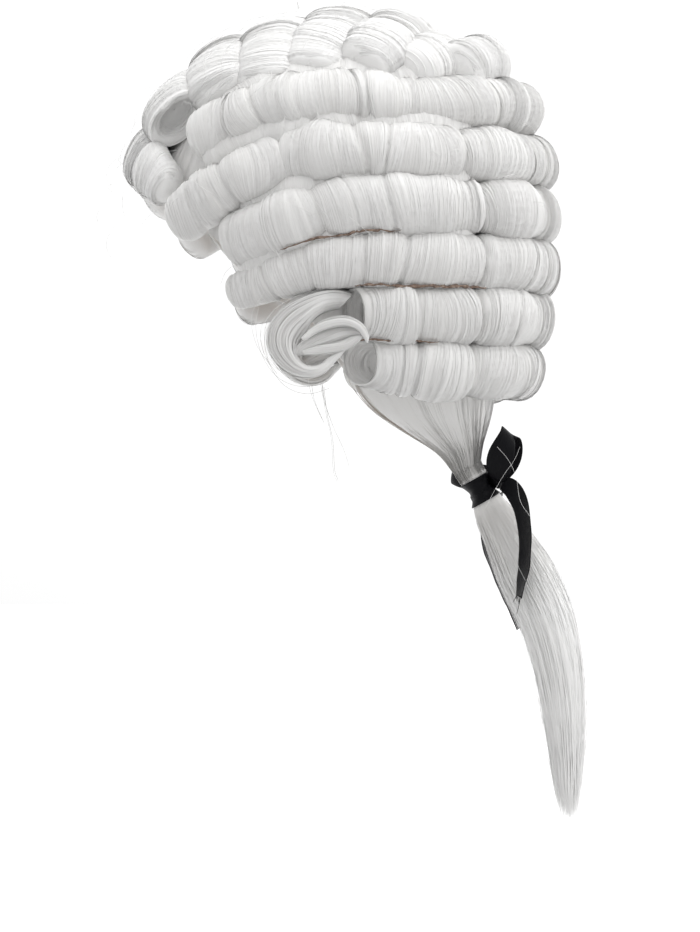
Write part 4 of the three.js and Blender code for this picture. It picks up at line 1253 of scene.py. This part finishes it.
def make_knot():
    """Knot: a pinched bight of ribbon with folds that run round it."""
    skin = Skin()
    rng = seeded("knot")
    u = np.linspace(0.02, 0.98, 44)
    phi = np.linspace(-math.pi, math.pi, 48, endpoint=False)
    swell = np.sin(math.pi * u) ** 0.42
    x = (u - 0.5) * KNOT_LENGTH * 1.05
    fold = noise(rng)
    crease = 0.4 * fold(u[:, None] * 7 + 0.8 * np.sin(phi)[None, :])
    depth = (KNOT_DEPTH / 2 * swell)[:, None] + crease
    height = (KNOT_DEPTH * 0.66 * swell)[:, None] + crease
    points = (KNOT + BUNDLE_OUT * (depth * np.cos(phi))[..., None]
              + BUNDLE_DOWN * (height * np.sin(phi))[..., None])
    points[..., 0] += x[:, None] + 0.6 * np.sin(phi)
    uv = np.stack(np.broadcast_arrays((u * 14)[:, None], (phi * 4)[None, :]), -1)
    skin.grid(points, uv, 1.0, wrap=True)
    return dress(skin, "ribbon_knot", SATIN)


def make_loop(name, sign, out, across, reach_length=LOOP_LENGTH, sag=0.0, slant=0.0):
    skin = Skin()
    rng = seeded(name)
    out, across = unit(np.array(out, float)), unit(np.array(across, float))
    bulge = np.cross(out, across)
    thickness = LOOP_BULGE * 0.08 + 0.5
    root = KNOT + [sign * (KNOT_LENGTH / 2 + SEAT_GAP + abs(bulge[0]) * thickness), 0, 0]
    turn = np.linspace(-0.93, 0.93, 70) * math.pi
    reach = (1 + np.cos(turn)) / 2
    centres = (root + out * (reach_length * reach)[:, None]
               + bulge * (LOOP_BULGE / 2 * np.sin(turn) * (0.7 + 0.5 * reach))[:, None])
    side = np.where(turn > 0, 1.0, -0.4) * np.sin(turn) ** 2
    centres = centres + across * (sag * side)[:, None]
    width = RIBBON_WIDTH * (0.45 + 0.5 * np.sin(math.pi / 2 * (1 + np.cos(turn)) ** 0.8))
    lean = np.radians(slant * (0.35 + 0.65 * reach) + 16 * np.sin(turn))[:, None]
    faced = across * np.cos(lean) + out * np.sin(lean)
    length = ribbon_sheet(skin, centres, faced, width, 0.6, rng)
    piece = dress(skin, name, SATIN)
    return piece


def make_tail(name, sign, rows):
    skin = Skin()
    rng = seeded(name)
    table = np.array(rows, float)
    t = np.linspace(0, 1, 90)
    at = np.linspace(0, 1, len(table))
    out, back, fall, twist, tilt, wide = (spline(at, table[:, i], t) for i in range(6))
    centres = np.stack([
        sign * (KNOT_LENGTH / 2 + 1 + out * TAIL_LENGTH),
        KNOT[1] + back * TAIL_LENGTH,
        KNOT[2] - KNOT_DEPTH * 0.2 - fall * TAIL_LENGTH], -1)
    twist, tilt = np.radians(twist), np.radians(tilt)
    across = np.stack([
        sign * np.cos(twist) * np.cos(tilt), np.sin(twist) * np.cos(tilt), np.sin(tilt)], -1)
    length = ribbon_sheet(skin, centres, across, RIBBON_WIDTH * wide, 0.8, rng)
    piece = dress(skin, name, SATIN)
    return piece


# Stray hairs as seen from the left: distance from the middle, then places back and level
STRAYS = (
    (84, ((-37, -109), (-46, -111), (-53, -115), (-56, -122))),
    (90, ((-30, -122), (-36, -132), (-38, -146), (-34, -160), (-26, -170), (-14, -174), (-2, -171))),
    (92, ((-33, -125), (-40, -138), (-38, -152), (-31, -163))),
    (88, ((-6, -168), (-4, -180), (1, -194), (6, -205), (9, -214))),
    (90, ((-5, -170), (-3, -186), (0, -200), (1, -216), (3, -222))),
    (86, ((-12, -168), (-10, -178), (-5, -190))),
    (34, ((98, -204), (95, -211), (90, -218), (84, -228), (80, -236))),
    (35, ((86, -204), (92, -211), (96, -220), (98, -232), (103, -240))),
    (33, ((95, -262), (101, -274), (106, -284), (110, -292))),
)


def add_side_strays(skin, rng):
    t = np.linspace(0, 1, 30)
    for side in (1, -1):
        for aside, places in STRAYS:
            back, level = np.array(places, float).T
            at = np.linspace(0, 1, len(places))
            sway = noise(rng)
            x = side * (aside + 1.5 * sway(3 * t))
            line = np.stack([x, spline(at, back, t), spline(at, level, t)], -1)
            radius = STRAY_RADIUS * (0.7 if aside < 50 else 1)
            skin.hairs(line[None], radius * np.ones((1, 30)), [1.0])


def add_crown_strays(skin, rng, count=170, steps=14):
    azimuth = rng.uniform(-180, 180, (count, 1))
    level = -94 * rng.random((count, 1)) ** 1.6
    t = np.linspace(0, 1, steps)
    turn = azimuth + rng.uniform(-9, 9, (count, 1)) * t
    height = level + rng.uniform(-16, 16, (count, 1)) * t
    lift = ROLL_SEAT + 2 * ROLL_HALF_DEPTH - 1 + rng.uniform(0.5, 5, (count, 1)) * np.sin(math.pi * t)
    points, _ = on_head(turn, np.clip(height, -150, -1), lift)
    radius = STRAY_RADIUS * 0.75 * np.sin(math.pi * np.clip(t, 0.03, 0.97)) ** 0.3
    skin.hairs(points, np.broadcast_to(radius, (count, steps)), rng.uniform(0.95, 1.0, count))


def make_strays():
    """Loose hairs: those the photograph shows, and fine ones that stand off the crown."""
    skin = Skin()
    rng = seeded("strays")
    add_side_strays(skin, rng)
    add_crown_strays(skin, rng)
    piece = skin.make("stray_hairs", HAIR)
    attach(piece, "root")


def make_frayed_threads():
    """Threads that hang from the cut end of the near tail."""
    skin = Skin()
    rng = seeded("threads")
    last = np.array(NEAR_TAIL[-1], float)
    end = np.array([
        KNOT_LENGTH / 2 + 1 + last[0] * TAIL_LENGTH, KNOT[1] + last[1] * TAIL_LENGTH,
        KNOT[2] - KNOT_DEPTH * 0.2 - last[2] * TAIL_LENGTH])
    twist = math.radians(last[3])
    t = np.linspace(0, 1, 10)
    for place, length in ((-6.5, 3.5), (-4.2, 2.2), (-1.0, 2.8), (2.6, 4.2), (5.2, 9.5), (6.4, 3.0)):
        start = end + np.array([math.cos(twist), math.sin(twist), 0]) * place + [0, 0, 0.6]
        bend = rng.uniform(-1, 1, 2)
        line = start + np.stack([bend[0] * t ** 2, bend[1] * t ** 2 - 1.2 * t, -length * t], -1)
        skin.hairs(line[None], 0.22 * (1.05 - t)[None] ** 0.3, [1.0])
    piece = skin.make("bow_tail_left_threads", SATIN)
    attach(piece, "root")


def floor_material():
    """Pale floor: grey under the wig and before it, painted shade, and lighter behind it, where it glows
    with painted light.
    """
    material, tree, shader = new_material("studio_floor", 0.9)
    uv = strand_coordinates(tree)
    split = tree.nodes.new("ShaderNodeSeparateXYZ")
    tree.links.new(uv, split.inputs[0])
    far = math_node(tree, "MULTIPLY", split.outputs[0], -1)
    tree.links.new(ramp(tree, far, (
        (FLOOR_FADE[0], FLOOR_NEAR_PAINTED_SHADE), (FLOOR_FADE[1], FLOOR_FAR))), shader.inputs["Base Color"])
    shader.inputs["Emission Color"].default_value = (1, 1, 1, 1)
    tree.links.new(ramp(tree, far, (
        (FLOOR_FADE[0], (0, 0, 0)), (FLOOR_FADE[1], (FLOOR_PAINTED_GLOW,) * 3))),
        shader.inputs["Emission Strength"])
    return material


def make_stage():
    skin = Skin()
    span = np.linspace(-6000, 6000, 13)
    x, y = np.meshgrid(span, span, indexing="ij")
    points = np.stack([x, y, np.full_like(x, FLOOR_LEVEL)], -1)
    skin.grid(points, np.stack([x, y], -1) / 1000, 1.0, flip=True)
    floor = skin.make("studio_floor", floor_material())


def area_light(name, energy, size, place, target):
    data = bpy.data.lights.new(name, "AREA")
    data.energy, data.size = energy, size
    light = bpy.data.objects.new(name, data)
    light.location = Vector(place)
    light.rotation_euler = (Vector(target) - Vector(place)).to_track_quat("-Z", "Y").to_euler()
    bpy.context.scene.collection.objects.link(light)


def light_sky(tree):
    """Studio surround: bright above and behind the wig, dimmer before its face and its left side."""
    background = tree.nodes["Background"]
    direction = tree.nodes.new("ShaderNodeTexCoord").outputs["Generated"]
    towards = tree.nodes.new("ShaderNodeVectorMath")
    towards.operation = "DOT_PRODUCT"
    towards.inputs[1].default_value = SKY_BRIGHT_SIDE
    tree.links.new(direction, towards.inputs[0])
    share = math_node(tree, "MULTIPLY_ADD", towards.outputs["Value"], 0.5)
    share.node.inputs[2].default_value = 0.5
    colour = ramp(tree, share, SKY_STOPS)
    tree.links.new(colour, background.inputs[0])
    background.inputs[1].default_value = WORLD_LIGHT


def make_light_and_camera():
    scene = bpy.context.scene
    scene.view_settings.view_transform = "Standard"
    world = bpy.data.worlds.new("studio")
    world.use_nodes = True
    light_sky(world.node_tree)
    scene.world = world
    middle = (0, 0.03, -0.12)
    area_light("key", KEY_LIGHT, 0.9, KEY_PLACE, middle)
    data = bpy.data.cameras.new("camera")
    data.sensor_fit = "VERTICAL"
    data.sensor_height = SENSOR_HEIGHT
    data.lens = SENSOR_HEIGHT * CAMERA_DISTANCE / VIEW_HEIGHT
    data.clip_end = 20
    camera = bpy.data.objects.new("camera", data)
    place = Vector((CAMERA_DISTANCE * MM, CAMERA_BACK * MM, CAMERA_LEVEL * MM))
    camera.location = place
    camera.rotation_euler = Vector((-1, 0, 0)).to_track_quat("-Z", "Y").to_euler()
    scene.collection.objects.link(camera)
    scene.camera = camera


make_light_and_camera()
make_cap()
make_combed_hair()
make_side_rolls()
make_back_rolls()
make_crown_rolls()
for side, sign in (("left", 1), ("right", -1)):
    make_temple_curl(side, sign)
make_nape_hair()
make_queue()
make_wefts()
make_band()
make_knot()
make_loop("bow_loop_left", 1, (0.35, 0.2, 0.92), (0, 1, -0.22), sag=3.0, slant=-36.0)
make_loop("bow_loop_right", -1, (-0.76, -0.64, 0.1), (0, 0.13, 1), 33)
make_tail("bow_tail_left", 1, NEAR_TAIL)
make_tail("bow_tail_right", -1, FAR_TAIL)
make_strays()
make_frayed_threads()
make_stage()
